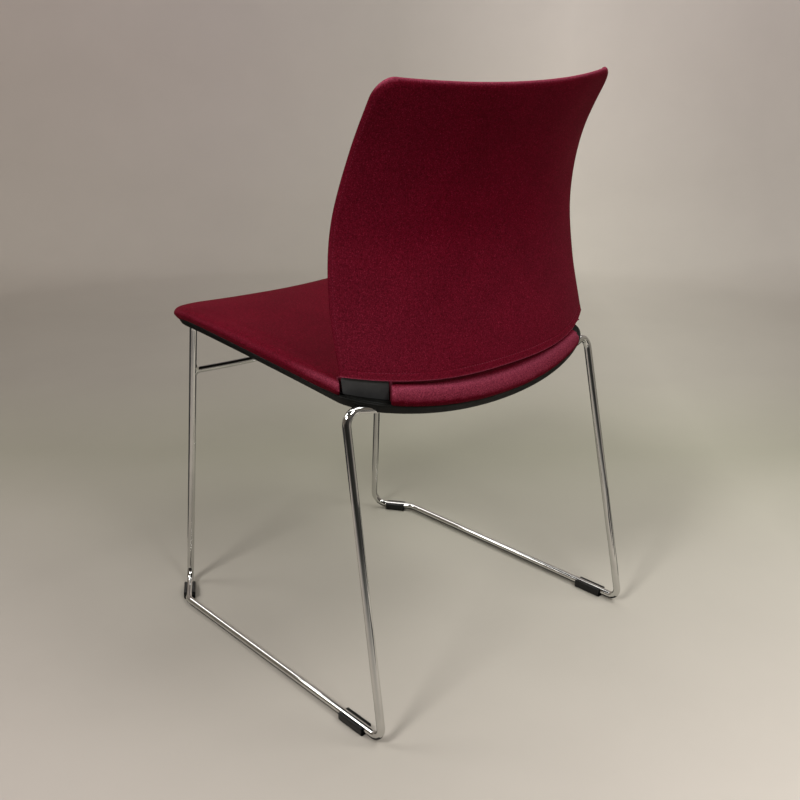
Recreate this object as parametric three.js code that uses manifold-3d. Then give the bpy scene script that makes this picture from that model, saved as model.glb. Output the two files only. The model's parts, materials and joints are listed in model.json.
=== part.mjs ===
// Sled base visitor chair. Millimetres, Z up, the sitter faces -Y and has +X on the left.
// The origin is on the floor, in the middle of the base. The depths below are measured from a
// line halfway between the toe corners and the rear corners, BASE_SHIFT_Y behind it.
import * as THREE from 'three';
import { mergeVertices } from 'three/addons/utils/BufferGeometryUtils.js';
import Module from 'manifold-3d';

const wasm = await Module();
wasm.setup();

const GAP = 0.3; // left between pieces that touch
const MERGE = 0.001; // vertices closer than this are one
const BASE_SHIFT_Y = 31;

// Frame: centre lines of the bent rod, left side
const ROD = 11;
const BAR = 10;
const ROD_Z = 8.5;
const FRONT_FOOT_X = 203.3;
const FRONT_FOOT_Y = -292.8;
const TOE_X = 244.7;
const TOE_Y = -231.5;
const REAR_FOOT_X = 252.7;
const REAR_FOOT_Y = 231.5;
const LEG_TOP_X = 187.6;
const LEG_TOP_Y = -252.9;
const LEG_TOP_Z = 455;
const REAR_TOP_X = 235.5;
const REAR_TOP_Y = 149.6;
const REAR_TOP_Z = 430.4;
const SHOULDER_X = 165;
const SHOULDER_Y = 163;
const SHOULDER_Z = 420;
const CROSS_HANDLE = 90;
const CROSS_Y = 177;
const CROSS_Z = 404.5;
const LEG_TOP_BEND = 20;
const FRONT_FOOT_BEND = 24;
const TOE_BEND = 30;
const REAR_FOOT_BEND = 15;
const REAR_TOP_BEND = 18;
const BAR_Z = 370.8;
const BAR_SAG = 7;
const WELD = 3;
const WELD_LENGTH = 6;
const WELD_WAIST_SHARE = 0.4; // of the weld's thickness and length
const WELD_TIP_SHARE = 0.1;

// Glides
const GLIDE_WIDTH = 18;
const GLIDE_FRONT_LENGTH = 34;
const GLIDE_REAR_LENGTH = 46;
const GLIDE_FRONT_SET = 42; // from the front foot corner to the glide's middle, along the toe
const GLIDE_REAR_SET = 55; // from the rear foot corner, along the runner
const GLIDE_CORNER = 4;
const GLIDE_EASE = 1.2;
const LIP_SHARE = 0.27; // of a half turn, from level up to each lip

// Tabs and screws under the seat
const TAB_LENGTH = 34;
const TAB_WIDTH = 28;
const TAB_THICK = 3;
const TAB_DROP = 3;
const TAB_FRONT_Y = -190;
const TAB_REAR_Y = 100;
const TAB_CORNER = 6;
const SCREW = 6;
const SCREW_HOLE = 6.6;
const SCREW_HEAD = 12;
const SCREW_HEAD_HEIGHT = 3.5;
const SCREW_SOCKET = 2;
const HEAD_FLAT_SHARE = 0.8; // flat end of the head, of its width
const BOSS = 15;
const BOSS_REACH = 8; // lowest point of a boss, below the skirt's edge

// Seat: height of the skirt's lower edge, as a dished surface
const SEAT_Z = 419.5;
const SEAT_SPAN_Y = 230;
const SEAT_FALL = 21.5;
const SEAT_BOW = 4.4;
const SEAT_SPAN_X = 228;
const SIDE_RISE = 26;
const WATERFALL_Y = -140;
const WATERFALL = 9;

// Seat outline, left half, from the middle of the front to the middle of the rear
const SEAT_FRONT_Y = -272;
const CORNER_FRONT_X = 168;
const CORNER_FRONT_Y = -266;
const CORNER_TIP_X = 230;
const CORNER_TIP_Y = -260;
const CORNER_SIDE_X = 235;
const CORNER_SIDE_Y = -198;
const SIDE_BELLY_X = 240;
const SIDE_BELLY_Y = -60;
const SIDE_REAR_X = 231;
const SIDE_REAR_Y = 130;
const REAR_TIP_X = 226;
const REAR_TIP_Y = 150;
const REAR_CORNER_X = 199;
const REAR_CORNER_Y = 166;
const REAR_PULL_X = 122;
const SEAT_REAR_Y = 198;

// Seat shell section
const SKIRT = 12;
const SKIRT_SIDE = 9.5;
const SKIRT_REAR_Y = 150; // behind this line the skirt is as tall as at the rear
const SKIRT_BLEND = 60;
const SKIRT_DRAFT = 4.5;
const SKIRT_WALL = 3;
const SKIRT_EASE = 1;
const PAN_TOP = 14;
const WALL = 3.5;
const LEDGE = 6;
const RIB = 2.5;
const RIB_DEPTH = 4;
const RIB_REACH_X = 150;
const RIB_FRONT_Y = -225;
const RIB_REAR_Y = 150;
const RIB_PITCH_X = 70;
const RIB_PITCH_Y = 115;
const ROD_CLEAR = 0.6; // groove round the rod in the shell

// Pad
const PAD = 25.5;
const PAD_CROWN = 7;
const PAD_SIDE_DROP = 9; // how much thinner the pad is at its sides, front and rear
const PAD_FRONT_DROP = 5;
const PAD_REAR_DROP = 5;
const PAD_EDGE = 12;
const PAD_TUCK = 1;
const BULGE = 3;
const BULGE_FRONT = 9;
const BULGE_REAR = 6;
const COVER = 1.5;
const HEM = 18;
const BOARD = 4;
const NOTCH_ROOM = 4; // from the upright's foot to the pad
const NOTCH_ROOM_SIDE = 3;

// Back: half width, depth and height of the rear skin at five even heights, hem to top
const HEM_Z = 448.5;
const TOP_Z = 800.5;
const HEM_HALF = 233.5;
const WAIST_HALF = 231;
const LUMBAR_HALF = 224;
const SHOULDER_HALF = 213.5;
const TOP_HALF = 210;
const HEM_Y = 200;
const WAIST_Y = 173.5;
const LUMBAR_Y = 163.5;
const BLADE_Y = 180;
const TOP_Y = 219;
const HEM_WRAP = 61;
const TOP_WRAP = 33;
const HEM_RISE = 21;
const TOP_RISE = 12;
const HEM_LATE_SHARE = 2.6; // how late the flanks turn forward
const TOP_LATE_SHARE = 2.1;
const BACK_CORNER = 25;
const BACK_THICK = 17;
const BACK_EDGE = 11;
const BACK_ROLL = 4.5;
const PANEL = 5;
const SWELL_ACROSS_SHARE = 5; // how near its edges the back stays thick, across and up
const SWELL_UP_SHARE = 8;
const STRAIGHT_SHARE = 0.62; // of the rows, below the top corners
const SLOPE_SHARE = 0.01; // step at which the skin's slope is read
const UPRIGHT_IN_SHARE = 0.778;
const UPRIGHT_OUT_SHARE = 1;
const UPRIGHT_TAPER_SHARE = 0.975; // width left inside the cover
const TAIL_SHARES = [0.07, 0.02]; // heights of the upright's tail inside the cover
const UPRIGHT_FOOT = 10;
const FOOT_SET = 10;

const PARTS = new THREE.Group();
PARTS.name = 'sled_base_visitor_chair';
PARTS.position.y = BASE_SHIFT_Y;

const chrome = new THREE.MeshStandardMaterial({ color: 0xc9ccd0, metalness: 1, roughness: 0.15 });
const steel = new THREE.MeshStandardMaterial({ color: 0x8f9296, metalness: 1, roughness: 0.4 });
const plastic = new THREE.MeshStandardMaterial({ color: 0x1c1d1e, roughness: 0.55 });
const felt = new THREE.MeshStandardMaterial({ color: 0x5e1420, roughness: 0.95 });
const foam = new THREE.MeshStandardMaterial({ color: 0xd8cfae, roughness: 1 });
const board = new THREE.MeshStandardMaterial({ color: 0x3a3a38, roughness: 0.7 });

function addPart(name, geometry, material) {
  const mesh = new THREE.Mesh(geometry, material);
  mesh.name = name;
  PARTS.add(mesh);
}

function toSolid(geometry) {
  const bare = geometry.clone();
  bare.deleteAttribute('normal');
  bare.deleteAttribute('uv');
  const merged = mergeVertices(bare, MERGE);
  return new wasm.Manifold(new wasm.Mesh({
    numProp: 3,
    vertProperties: new Float32Array(merged.attributes.position.array),
    triVerts: new Uint32Array(merged.index.array),
  }));
}

function toGeometry(solid) {
  const mesh = solid.getMesh();
  const geometry = new THREE.BufferGeometry();
  geometry.setAttribute('position', new THREE.BufferAttribute(mesh.vertProperties.slice(), 3));
  geometry.setIndex(new THREE.BufferAttribute(mesh.triVerts.slice(), 1));
  geometry.computeVertexNormals();
  return geometry;
}

// The same solid on the other side of the middle plane, its faces turned round
function mirrored(geometry) {
  const twin = geometry.index ? geometry.toNonIndexed() : geometry.clone();
  twin.scale(-1, 1, 1);
  const spots = twin.attributes.position;
  for (let i = 0; i < spots.count; i += 3) {
    const second = new THREE.Vector3().fromBufferAttribute(spots, i + 1);
    const third = new THREE.Vector3().fromBufferAttribute(spots, i + 2);
    spots.setXYZ(i + 1, third.x, third.y, third.z);
    spots.setXYZ(i + 2, second.x, second.y, second.z);
  }
  twin.computeVertexNormals();
  return twin;
}

function addPair(name, geometry, material) {
  addPart(`${name}_left`, geometry, material);
  addPart(`${name}_right`, mirrored(geometry), material);
}

// Curve made of pieces, each walked in its own number of steps
class StepCurve extends THREE.Curve {
  constructor(pieces) {
    super();
    this.pieces = pieces;
    this.steps = pieces.reduce((sum, piece) => sum + piece.steps, 0);
  }

  getPoint(t, target = new THREE.Vector3()) {
    let station = t * this.steps;
    let k = 0;
    while (k < this.pieces.length - 1 && station > this.pieces[k].steps) {
      station -= this.pieces[k].steps;
      k += 1;
    }
    return this.pieces[k].curve.getPoint(station / this.pieces[k].steps, target);
  }

  getUtoTmapping(u) {
    return u;
  }
}

// Arc of the given radius that rounds the corner between two straight runs
function roundCorner(before, corner, after, radius) {
  const back = before.clone().sub(corner).normalize();
  const ahead = after.clone().sub(corner).normalize();
  const turn = Math.PI - back.angleTo(ahead);
  const reach = radius * Math.tan(turn / 2);
  const handle = reach - (4 / 3) * Math.tan(turn / 4) * radius;
  return new THREE.CubicBezierCurve3(
    corner.clone().addScaledVector(back, reach),
    corner.clone().addScaledVector(back, handle),
    corner.clone().addScaledVector(ahead, handle),
    corner.clone().addScaledVector(ahead, reach),
  );
}

function bentPieces(corners, radii, arcSteps) {
  const pieces = [];
  let from = corners[0];
  for (let k = 1; k < corners.length - 1; k += 1) {
    const arc = roundCorner(corners[k - 1], corners[k], corners[k + 1], radii[k - 1]);
    pieces.push({ curve: new THREE.LineCurve3(from, arc.v0), steps: 1 });
    pieces.push({ curve: arc, steps: arcSteps });
    from = arc.v3;
  }
  return { pieces, from };
}

function tube(path, diameter) {
  const round = new THREE.Shape();
  round.absarc(0, 0, diameter / 2, 0, Math.PI * 2);
  return new THREE.ExtrudeGeometry(round, {
    steps: path.steps, curveSegments: 7, extrudePath: path,
  });
}

const legTop = new THREE.Vector3(LEG_TOP_X, LEG_TOP_Y, LEG_TOP_Z);
const frontFoot = new THREE.Vector3(FRONT_FOOT_X, FRONT_FOOT_Y, ROD_Z);
const toe = new THREE.Vector3(TOE_X, TOE_Y, ROD_Z);
const rearFoot = new THREE.Vector3(REAR_FOOT_X, REAR_FOOT_Y, ROD_Z);
const rearTop = new THREE.Vector3(REAR_TOP_X, REAR_TOP_Y, REAR_TOP_Z);
const shoulder = new THREE.Vector3(SHOULDER_X, SHOULDER_Y, SHOULDER_Z);

function crossRun(start) {
  return new THREE.CubicBezierCurve3(
    start, shoulder,
    new THREE.Vector3(CROSS_HANDLE, CROSS_Y, CROSS_Z),
    new THREE.Vector3(GAP / 2, CROSS_Y, CROSS_Z),
  );
}

// Where the rear cross run passes over the seat rail's line
function railEnd(run) {
  const near = run.getPoints(200).reduce((best, point) => (
    Math.abs(point.x - LEG_TOP_X) < Math.abs(best.x - LEG_TOP_X) ? point : best));
  const slope = Math.abs((run.v3.y - run.v0.y) / (run.v3.x - run.v0.x));
  return new THREE.Vector3(LEG_TOP_X, near.y - (ROD / 2) * (1 + 2 * slope) - GAP, near.z);
}

function sideRodPath() {
  const arc = roundCorner(rearFoot, rearTop, shoulder, REAR_TOP_BEND);
  const run = crossRun(arc.v3);
  const end = railEnd(run);
  const corners = [end, legTop, frontFoot, toe, rearFoot, rearTop, shoulder];
  const radii = [LEG_TOP_BEND, FRONT_FOOT_BEND, TOE_BEND, REAR_FOOT_BEND, REAR_TOP_BEND];
  const { pieces } = bentPieces(corners, radii, 7);
  pieces.push({ curve: run, steps: 9 });
  return { path: new StepCurve(pieces), end };
}

// Ring of weld round a rod's end, thick at the joint and fading along the rod
function weldRing(rod, joint, along) {
  const inner = rod / 2 + GAP;
  const profile = [
    new THREE.Vector2(inner, 0),
    new THREE.Vector2(inner + WELD, 0),
    new THREE.Vector2(inner + WELD * WELD_WAIST_SHARE, WELD_LENGTH * WELD_WAIST_SHARE),
    new THREE.Vector2(inner + WELD * WELD_TIP_SHARE, WELD_LENGTH),
    new THREE.Vector2(inner, WELD_LENGTH),
    new THREE.Vector2(inner, 0),
  ];
  const ring = new THREE.LatheGeometry(profile, 16);
  ring.applyQuaternion(new THREE.Quaternion().setFromUnitVectors(
    new THREE.Vector3(0, 1, 0), along.clone().normalize(),
  ));
  ring.translate(joint.x, joint.y, joint.z);
  return ring;
}

function frontLegAt(z) {
  return frontFoot.clone().lerp(legTop, (z - ROD_Z) / (LEG_TOP_Z - ROD_Z));
}

function addFrame() {
  const { path, end } = sideRodPath();
  addPair('side_rod', tube(path, ROD), chrome);
  const leg = frontLegAt(BAR_Z);
  const barEnd = leg.clone().setX(leg.x - ROD / 2 - GAP);
  const middle = new THREE.Vector3(0, barEnd.y, BAR_Z - 2 * BAR_SAG);
  const bar = new THREE.QuadraticBezierCurve3(barEnd, middle, barEnd.clone().setX(-barEnd.x));
  addPart('front_cross_bar', tube(new StepCurve([{ curve: bar, steps: 10 }]), BAR), chrome);
  addPair('cross_bar_weld', weldRing(BAR, barEnd, bar.getTangent(0)), chrome);
  const rail = legTop.clone().sub(end).normalize();
  addPair('rail_weld', weldRing(ROD, end.clone().addScaledVector(rail, WELD), rail), chrome);
  return end;
}

function glideSection() {
  const lip = Math.PI * LIP_SHARE;
  const bore = ROD / 2 + GAP;
  const half = GLIDE_WIDTH / 2;
  const lipZ = ROD_Z + bore * Math.sin(lip);
  const section = new THREE.Shape();
  section.moveTo(-half + GLIDE_CORNER, 0);
  section.lineTo(half - GLIDE_CORNER, 0);
  section.quadraticCurveTo(half, 0, half, GLIDE_CORNER);
  section.lineTo(half, lipZ - GLIDE_CORNER / 2);
  section.quadraticCurveTo(half, lipZ, half - GLIDE_CORNER / 2, lipZ);
  section.absarc(0, ROD_Z, bore, lip, Math.PI - lip, true);
  section.lineTo(-half + GLIDE_CORNER / 2, lipZ);
  section.quadraticCurveTo(-half, lipZ, -half, lipZ - GLIDE_CORNER / 2);
  section.lineTo(-half, GLIDE_CORNER);
  section.quadraticCurveTo(-half, 0, -half + GLIDE_CORNER, 0);
  return section;
}

// Clip under the rod between two floor points, its middle a set distance from the first
function glide(from, to, set, length) {
  const clip = new THREE.ExtrudeGeometry(glideSection(), {
    depth: length - 2 * GLIDE_EASE, steps: 1, curveSegments: 4,
    bevelThickness: GLIDE_EASE, bevelSize: GLIDE_EASE, bevelOffset: -GLIDE_EASE, bevelSegments: 1,
  });
  clip.translate(0, 0, GLIDE_EASE - length / 2);
  const along = to.clone().sub(from).normalize();
  const up = new THREE.Vector3(0, 0, 1);
  clip.applyMatrix4(new THREE.Matrix4().makeBasis(up.clone().cross(along), up, along));
  const middle = from.clone().addScaledVector(along, set);
  clip.translate(middle.x, middle.y, 0);
  return clip;
}

function addGlides() {
  const front = glide(frontFoot, toe, GLIDE_FRONT_SET, GLIDE_FRONT_LENGTH);
  const rear = glide(rearFoot, toe, GLIDE_REAR_SET, GLIDE_REAR_LENGTH);
  addPair('glide_front', front, plastic);
  addPair('glide_rear', rear, plastic);
}

// Height of the skirt's lower edge, carried across the whole seat
function seatZ(x, y) {
  const along = y / SEAT_SPAN_Y;
  const across = x / SEAT_SPAN_X;
  const front = Math.max((WATERFALL_Y - y) / (WATERFALL_Y - SEAT_FRONT_Y), 0);
  return SEAT_Z - SEAT_FALL * along - SEAT_BOW * along ** 2
    + SIDE_RISE * across ** 2 - WATERFALL * front ** 3;
}

// The skirt is taller across the rear than along the sides
function skirtDrop(y) {
  const share = Math.min(Math.max((SKIRT_REAR_Y - y) / SKIRT_BLEND, 0), 1);
  return (SKIRT - SKIRT_SIDE) * share;
}

function padThinning(x, y) {
  const end = y < 0 ? PAD_FRONT_DROP * (y / SEAT_FRONT_Y) ** 2 : PAD_REAR_DROP * (y / SEAT_REAR_Y) ** 2;
  return Math.hypot(PAD_SIDE_DROP * (x / SEAT_SPAN_X) ** 2, end);
}

function flat(x, y) {
  return new THREE.Vector2(x, y);
}

function quad(a, b, c, steps) {
  return { curve: new THREE.QuadraticBezierCurve(a, b, c), steps };
}

// Points of a half outline and of its mirror image, from the front round the left side
function ringOf(pieces) {
  const half = [];
  for (const { curve, steps } of pieces) {
    half.push(...curve.getPoints(steps).slice(half.length ? 1 : 0));
  }
  const other = half.slice(1, -1).reverse().map((point) => flat(-point.x, point.y));
  return [...half, ...other];
}

function frontPieces() {
  const cornerFront = flat(CORNER_FRONT_X, CORNER_FRONT_Y);
  const cornerSide = flat(CORNER_SIDE_X, CORNER_SIDE_Y);
  return [
    quad(flat(0, SEAT_FRONT_Y), flat(CORNER_FRONT_X / 2, SEAT_FRONT_Y), cornerFront, 3),
    quad(cornerFront, flat(CORNER_TIP_X, CORNER_TIP_Y), cornerSide, 5),
  ];
}

function sideCurve() {
  return new THREE.QuadraticBezierCurve(
    flat(CORNER_SIDE_X, CORNER_SIDE_Y), flat(SIDE_BELLY_X, SIDE_BELLY_Y),
    flat(SIDE_REAR_X, SIDE_REAR_Y),
  );
}

function rearCurve() {
  return new THREE.QuadraticBezierCurve(
    flat(REAR_CORNER_X, REAR_CORNER_Y), flat(REAR_PULL_X, SEAT_REAR_Y), flat(0, SEAT_REAR_Y),
  );
}

function seatOutline() {
  const corner = flat(REAR_CORNER_X, REAR_CORNER_Y);
  return ringOf([
    ...frontPieces(),
    { curve: sideCurve(), steps: 4 },
    quad(flat(SIDE_REAR_X, SIDE_REAR_Y), flat(REAR_TIP_X, REAR_TIP_Y), corner, 3),
    { curve: rearCurve(), steps: 5 },
  ]);
}

// Closed solid from rows of { share, inset, lift } that run from the top pole to the bottom pole
function dishLoft(ring, rows) {
  const geometry = new THREE.SphereGeometry(1, ring.length, rows.length - 1);
  const spots = geometry.attributes.position;
  for (let i = 0; i < spots.count; i += 1) {
    const row = rows[Math.floor(i / (ring.length + 1))];
    const edge = ring[(i % (ring.length + 1)) % ring.length];
    const reach = edge.length();
    const front = Math.max(-edge.y / reach, 0);
    const rear = Math.max(edge.y / reach, 0);
    const more = (BULGE_FRONT / BULGE - 1) * front ** 2 + (BULGE_REAR / BULGE - 1) * rear;
    const out = (row.bulge || 0) * (1 + more);
    const scale = row.share * (1 + (out - row.inset) / reach);
    const x = edge.x * scale;
    const y = edge.y * scale;
    const thin = (row.flank || 0) * padThinning(x, y);
    const rim = (row.rim || 0) * skirtDrop(y);
    spots.setXYZ(i, x, y, seatZ(x, y) + row.lift - thin - rim);
  }
  return geometry;
}

// Ways out from the middle at which the pan and what lies on it have their points
const PAN_SHARES = [0, 0.35, 0.65, 0.88];

function panRows(lift) {
  return PAN_SHARES.map((share) => ({ share, inset: 0, lift }));
}

function shellRows() {
  const under = PAN_TOP - WALL;
  return [
    ...panRows(PAN_TOP),
    { share: 1, inset: LEDGE + SKIRT_EASE, lift: PAN_TOP },
    { share: 1, inset: LEDGE, lift: SKIRT, rim: 1 },
    { share: 1, inset: SKIRT_EASE, lift: SKIRT, rim: 1 },
    { share: 1, inset: 0, lift: SKIRT - SKIRT_EASE, rim: 1 },
    { share: 1, inset: SKIRT_DRAFT, lift: 0 },
    { share: 1, inset: SKIRT_DRAFT + SKIRT_WALL, lift: 0 },
    { share: 1, inset: SKIRT_DRAFT + SKIRT_WALL, lift: under - SKIRT_WALL },
    { share: 1, inset: SKIRT_DRAFT + 2 * SKIRT_WALL, lift: under },
    ...panRows(under).reverse(),
  ];
}

function box(x0, x1, y0, y1, z0, z1) {
  const block = new THREE.BoxGeometry(x1 - x0, y1 - y0, z1 - z0);
  block.translate((x0 + x1) / 2, (y0 + y1) / 2, (z0 + z1) / 2);
  return block;
}

// Ribs that hang under the pan and follow its dish
function ribSolid(outline) {
  const ring = outline.filter((point, index) => index % 2 === 0);
  const low = PAN_TOP - WALL - RIB_DEPTH;
  const high = PAN_TOP - WALL / 2;
  const band = toSolid(dishLoft(ring, [...panRows(high), ...panRows(low).reverse()]));
  const floor = SEAT_Z - SEAT_FALL * 2;
  const roof = SEAT_Z + SIDE_RISE * 2 + SEAT_FALL;
  let grid = null;
  const join = (block) => {
    const solid = toSolid(block);
    grid = grid ? grid.add(solid) : solid;
  };
  for (let x = -2 * RIB_PITCH_X; x <= 2 * RIB_PITCH_X; x += RIB_PITCH_X) {
    join(box(x - RIB / 2, x + RIB / 2, RIB_FRONT_Y, RIB_REAR_Y, floor, roof));
  }
  for (let y = RIB_FRONT_Y; y < RIB_REAR_Y; y += RIB_PITCH_Y) {
    join(box(-RIB_REACH_X, RIB_REACH_X, y, y + RIB, floor, roof));
  }
  return grid.intersect(band);
}

// The four places where the frame is screwed to the shell, left side
function mounts(end) {
  const tilt = Math.atan2(LEG_TOP_Z - end.z, end.y - LEG_TOP_Y);
  return [['front', TAB_FRONT_Y], ['rear', TAB_REAR_Y]].map(([place, y]) => {
    const along = (y - LEG_TOP_Y) / (end.y - LEG_TOP_Y);
    const z = LEG_TOP_Z + (end.z - LEG_TOP_Z) * along - TAB_DROP;
    const x = LEG_TOP_X - ROD / 2 - GAP - TAB_LENGTH / 2;
    return { place, x, y, z, tilt };
  });
}

function placed(geometry, mount) {
  geometry.rotateX(-mount.tilt);
  geometry.translate(mount.x, mount.y, mount.z);
  return geometry;
}

function cylinder(diameter, from, to) {
  const round = new THREE.CylinderGeometry(diameter / 2, diameter / 2, to - from, 16);
  round.rotateX(Math.PI / 2);
  round.translate(0, 0, (from + to) / 2);
  return round;
}

function tab() {
  const half = TAB_LENGTH / 2;
  const side = TAB_WIDTH / 2;
  const plate = new THREE.Shape();
  plate.moveTo(half, -side);
  plate.lineTo(half, side);
  plate.lineTo(-half + TAB_CORNER, side);
  plate.quadraticCurveTo(-half, side, -half, side - TAB_CORNER);
  plate.lineTo(-half, -side + TAB_CORNER);
  plate.quadraticCurveTo(-half, -side, -half + TAB_CORNER, -side);
  const hole = new THREE.Path();
  hole.absarc(0, 0, SCREW_HOLE / 2, 0, Math.PI * 2);
  plate.holes.push(hole);
  const sheet = new THREE.ExtrudeGeometry(plate, {
    depth: TAB_THICK, bevelEnabled: false, curveSegments: 6,
  });
  sheet.translate(0, 0, -TAB_THICK / 2);
  return sheet;
}

function screw(tip) {
  const seat = -TAB_THICK / 2 - GAP;
  const low = seat - SCREW_HEAD_HEIGHT;
  const head = SCREW_HEAD / 2;
  const profile = [
    new THREE.Vector2(0, low + SCREW_SOCKET),
    new THREE.Vector2(SCREW / 2, low + SCREW_SOCKET),
    new THREE.Vector2(SCREW / 2, low),
    new THREE.Vector2(head * HEAD_FLAT_SHARE, low),
    new THREE.Vector2(head, low + SCREW_HEAD_HEIGHT / 2),
    new THREE.Vector2(head, seat),
    new THREE.Vector2(SCREW / 2, seat),
    new THREE.Vector2(SCREW / 2, tip),
    new THREE.Vector2(0, tip),
  ];
  const body = new THREE.LatheGeometry(profile, 12);
  body.rotateX(Math.PI / 2);
  return body;
}

function seatShell(end) {
  const ring = seatOutline();
  let shell = toSolid(dishLoft(ring, shellRows())).add(ribSolid(ring));
  const { path } = sideRodPath();
  const groove = tube(path, ROD + 2 * ROD_CLEAR);
  const pan = toSolid(dishLoft(ring, [
    ...panRows(PAN_TOP - WALL / 2),
    ...panRows(-BOSS_REACH).reverse(),
  ]));
  for (const mount of mounts(end)) {
    const roof = PAN_TOP;
    const boss = placed(cylinder(BOSS, TAB_THICK / 2 + GAP, 2 * roof), mount);
    const bore = placed(cylinder(SCREW_HOLE, 0, screwTip(mount) + GAP), mount);
    for (const turn of [(g) => g, mirrored]) {
      shell = shell.add(toSolid(turn(boss)).intersect(pan));
      shell = shell.subtract(toSolid(turn(bore)));
    }
  }
  for (const turn of [(g) => g, mirrored]) {
    shell = shell.subtract(toSolid(turn(groove)));
    shell = shell.subtract(toSolid(turn(weldRelief(end))));
  }
  return toGeometry(shell);
}

// Room in the shell for the weld at the rail's end
function weldRelief(end) {
  const radius = ROD / 2 + WELD + 2 * GAP;
  const rail = legTop.clone().sub(end).normalize();
  const room = new THREE.CylinderGeometry(radius, radius, 2 * (WELD_LENGTH + WELD), 16);
  room.applyQuaternion(new THREE.Quaternion().setFromUnitVectors(new THREE.Vector3(0, 1, 0), rail));
  room.translate(end.x, end.y, end.z);
  return room;
}

// Height of a screw's tip above its tab, inside the pan's wall
function screwTip(mount) {
  return seatZ(mount.x, mount.y) + PAN_TOP - WALL / 2 - mount.z;
}

function addMounts(end) {
  for (const mount of mounts(end)) {
    addPair(`mount_tab_${mount.place}`, placed(tab(), mount), steel);
    addPair(`mount_screw_${mount.place}`, placed(screw(screwTip(mount) - GAP), mount), steel);
  }
}

// Pad's face: way out from the middle, crown left
const FACE_SHARES = [[0, 1], [0.35, 0.88], [0.65, 0.58], [0.84, 0.3]];
// Pad's side: inset of its edge, drop of its height, bulge, thinning taken over from the face
const SIDE_SHARES = [
  [1.6, -0.04, 0.2, 1],
  [0.7, 0.06, 0.4, 0.9],
  [0.2, 0.26, 0.8, 0.7],
  [0, 0.52, 1, 0.4],
  [0.06, 0.76, 0.8, 0.15],
];

// The pad's top and sides, moved inwards by the depth below the cover's face
function padRows(depth) {
  const kept = (row, index) => depth === 0 || index % 2 === 0 || index > 2;
  const face = FACE_SHARES.filter(kept).map(([share, crown]) => ({
    share, inset: depth * share, lift: PAN_TOP + PAD - depth + PAD_CROWN * crown, flank: 1,
  }));
  const side = SIDE_SHARES.filter(kept).map(([inset, drop, bulge, flank]) => ({
    share: 1,
    inset: inset * PAD_EDGE + depth,
    lift: PAN_TOP + (PAD - depth) * (1 - drop),
    bulge: bulge * BULGE,
    flank,
  }));
  return [...face, ...side];
}

// Block cut out of the pad at the left rear corner, where an upright stands
function notchBlock(room) {
  const { foot: inside } = footSpot(UPRIGHT_IN_SHARE);
  const { foot: outside } = footSpot(UPRIGHT_OUT_SHARE);
  const along = outside.clone().sub(inside).setZ(0).normalize();
  const out = new THREE.Vector3(-along.y, along.x, 0);
  const depth = UPRIGHT_FOOT + FOOT_SET + NOTCH_ROOM + room;
  const width = outside.distanceTo(inside) + NOTCH_ROOM + NOTCH_ROOM_SIDE + 2 * room;
  const block = new THREE.BoxGeometry(width, depth + 2 * HEM, 2 * SEAT_Z);
  block.translate(width / 2 - NOTCH_ROOM - room, HEM - depth / 2 + FOOT_SET, SEAT_Z);
  block.applyMatrix4(new THREE.Matrix4().makeBasis(along, out, new THREE.Vector3(0, 0, 1)));
  block.translate(inside.x, inside.y, 0);
  return block;
}

function notched(solid, room) {
  const block = notchBlock(room);
  return solid.subtract(toSolid(block)).subtract(toSolid(mirrored(block)));
}

// The cover goes round the foam and the board, and lies on the shell as a hem
function seatCover(ring) {
  const hem = PAN_TOP + GAP + COVER;
  const outer = toSolid(dishLoft(ring, [
    ...padRows(0),
    { share: 1, inset: PAD_TUCK, lift: SKIRT, rim: 1 },
    ...panRows(SKIRT).reverse(),
  ]));
  const inner = toSolid(dishLoft(ring, [
    ...padRows(COVER),
    { share: 1, inset: LEDGE, lift: hem },
    ...panRows(hem).reverse(),
  ]));
  const opening = toSolid(dishLoft(ring, [
    ...panRows(hem + COVER),
    { share: 1, inset: HEM, lift: hem + COVER },
    { share: 1, inset: HEM, lift: 0 },
    { share: 0, inset: 0, lift: 0 },
  ]));
  const shell = toSolid(dishLoft(ring, [
    ...panRows(PAN_TOP + GAP),
    { share: 1, inset: LEDGE + SKIRT_EASE - GAP, lift: PAN_TOP + GAP },
    { share: 1, inset: LEDGE - GAP, lift: SKIRT + GAP, rim: 1 },
    { share: 1, inset: -HEM, lift: SKIRT + GAP, rim: 1 },
    { share: 1, inset: -HEM, lift: -SKIRT },
    { share: 0, inset: 0, lift: -SKIRT },
  ]));
  const bag = notched(outer, 0).subtract(notched(inner, COVER));
  return toGeometry(bag.subtract(notched(opening, HEM)).subtract(shell));
}

function seatBoard(ring) {
  const low = PAN_TOP + COVER + 5 * GAP;
  const inset = LEDGE + COVER;
  const plate = toSolid(dishLoft(ring, [
    ...panRows(low + BOARD),
    { share: 1, inset, lift: low + BOARD },
    { share: 1, inset, lift: low },
    ...panRows(low).reverse(),
  ]));
  return toGeometry(notched(plate, COVER + GAP));
}

// The foam fills the cover down to the board
function seatFoam(ring) {
  const top = PAN_TOP + COVER + BOARD + 6 * GAP;
  const inset = LEDGE + COVER;
  const block = toSolid(dishLoft(ring, [
    ...padRows(COVER + GAP),
    { share: 1, inset, lift: top - BOARD / 2 },
    ...panRows(top - BOARD / 2).reverse(),
  ]));
  const underneath = toSolid(dishLoft(ring, [
    ...panRows(top),
    { share: 1, inset: inset - GAP, lift: top },
    { share: 1, inset: inset - GAP, lift: 0 },
    { share: 0, inset: 0, lift: 0 },
  ]));
  return toGeometry(notched(block, COVER + GAP).subtract(underneath));
}

function addSeat(end) {
  addPart('seat_shell', seatShell(end), plastic);
  const ring = seatOutline();
  addPart('seat_board', seatBoard(ring), board);
  addPart('seat_foam', seatFoam(ring), foam);
  addPart('seat_cover', seatCover(ring), felt);
}

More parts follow.
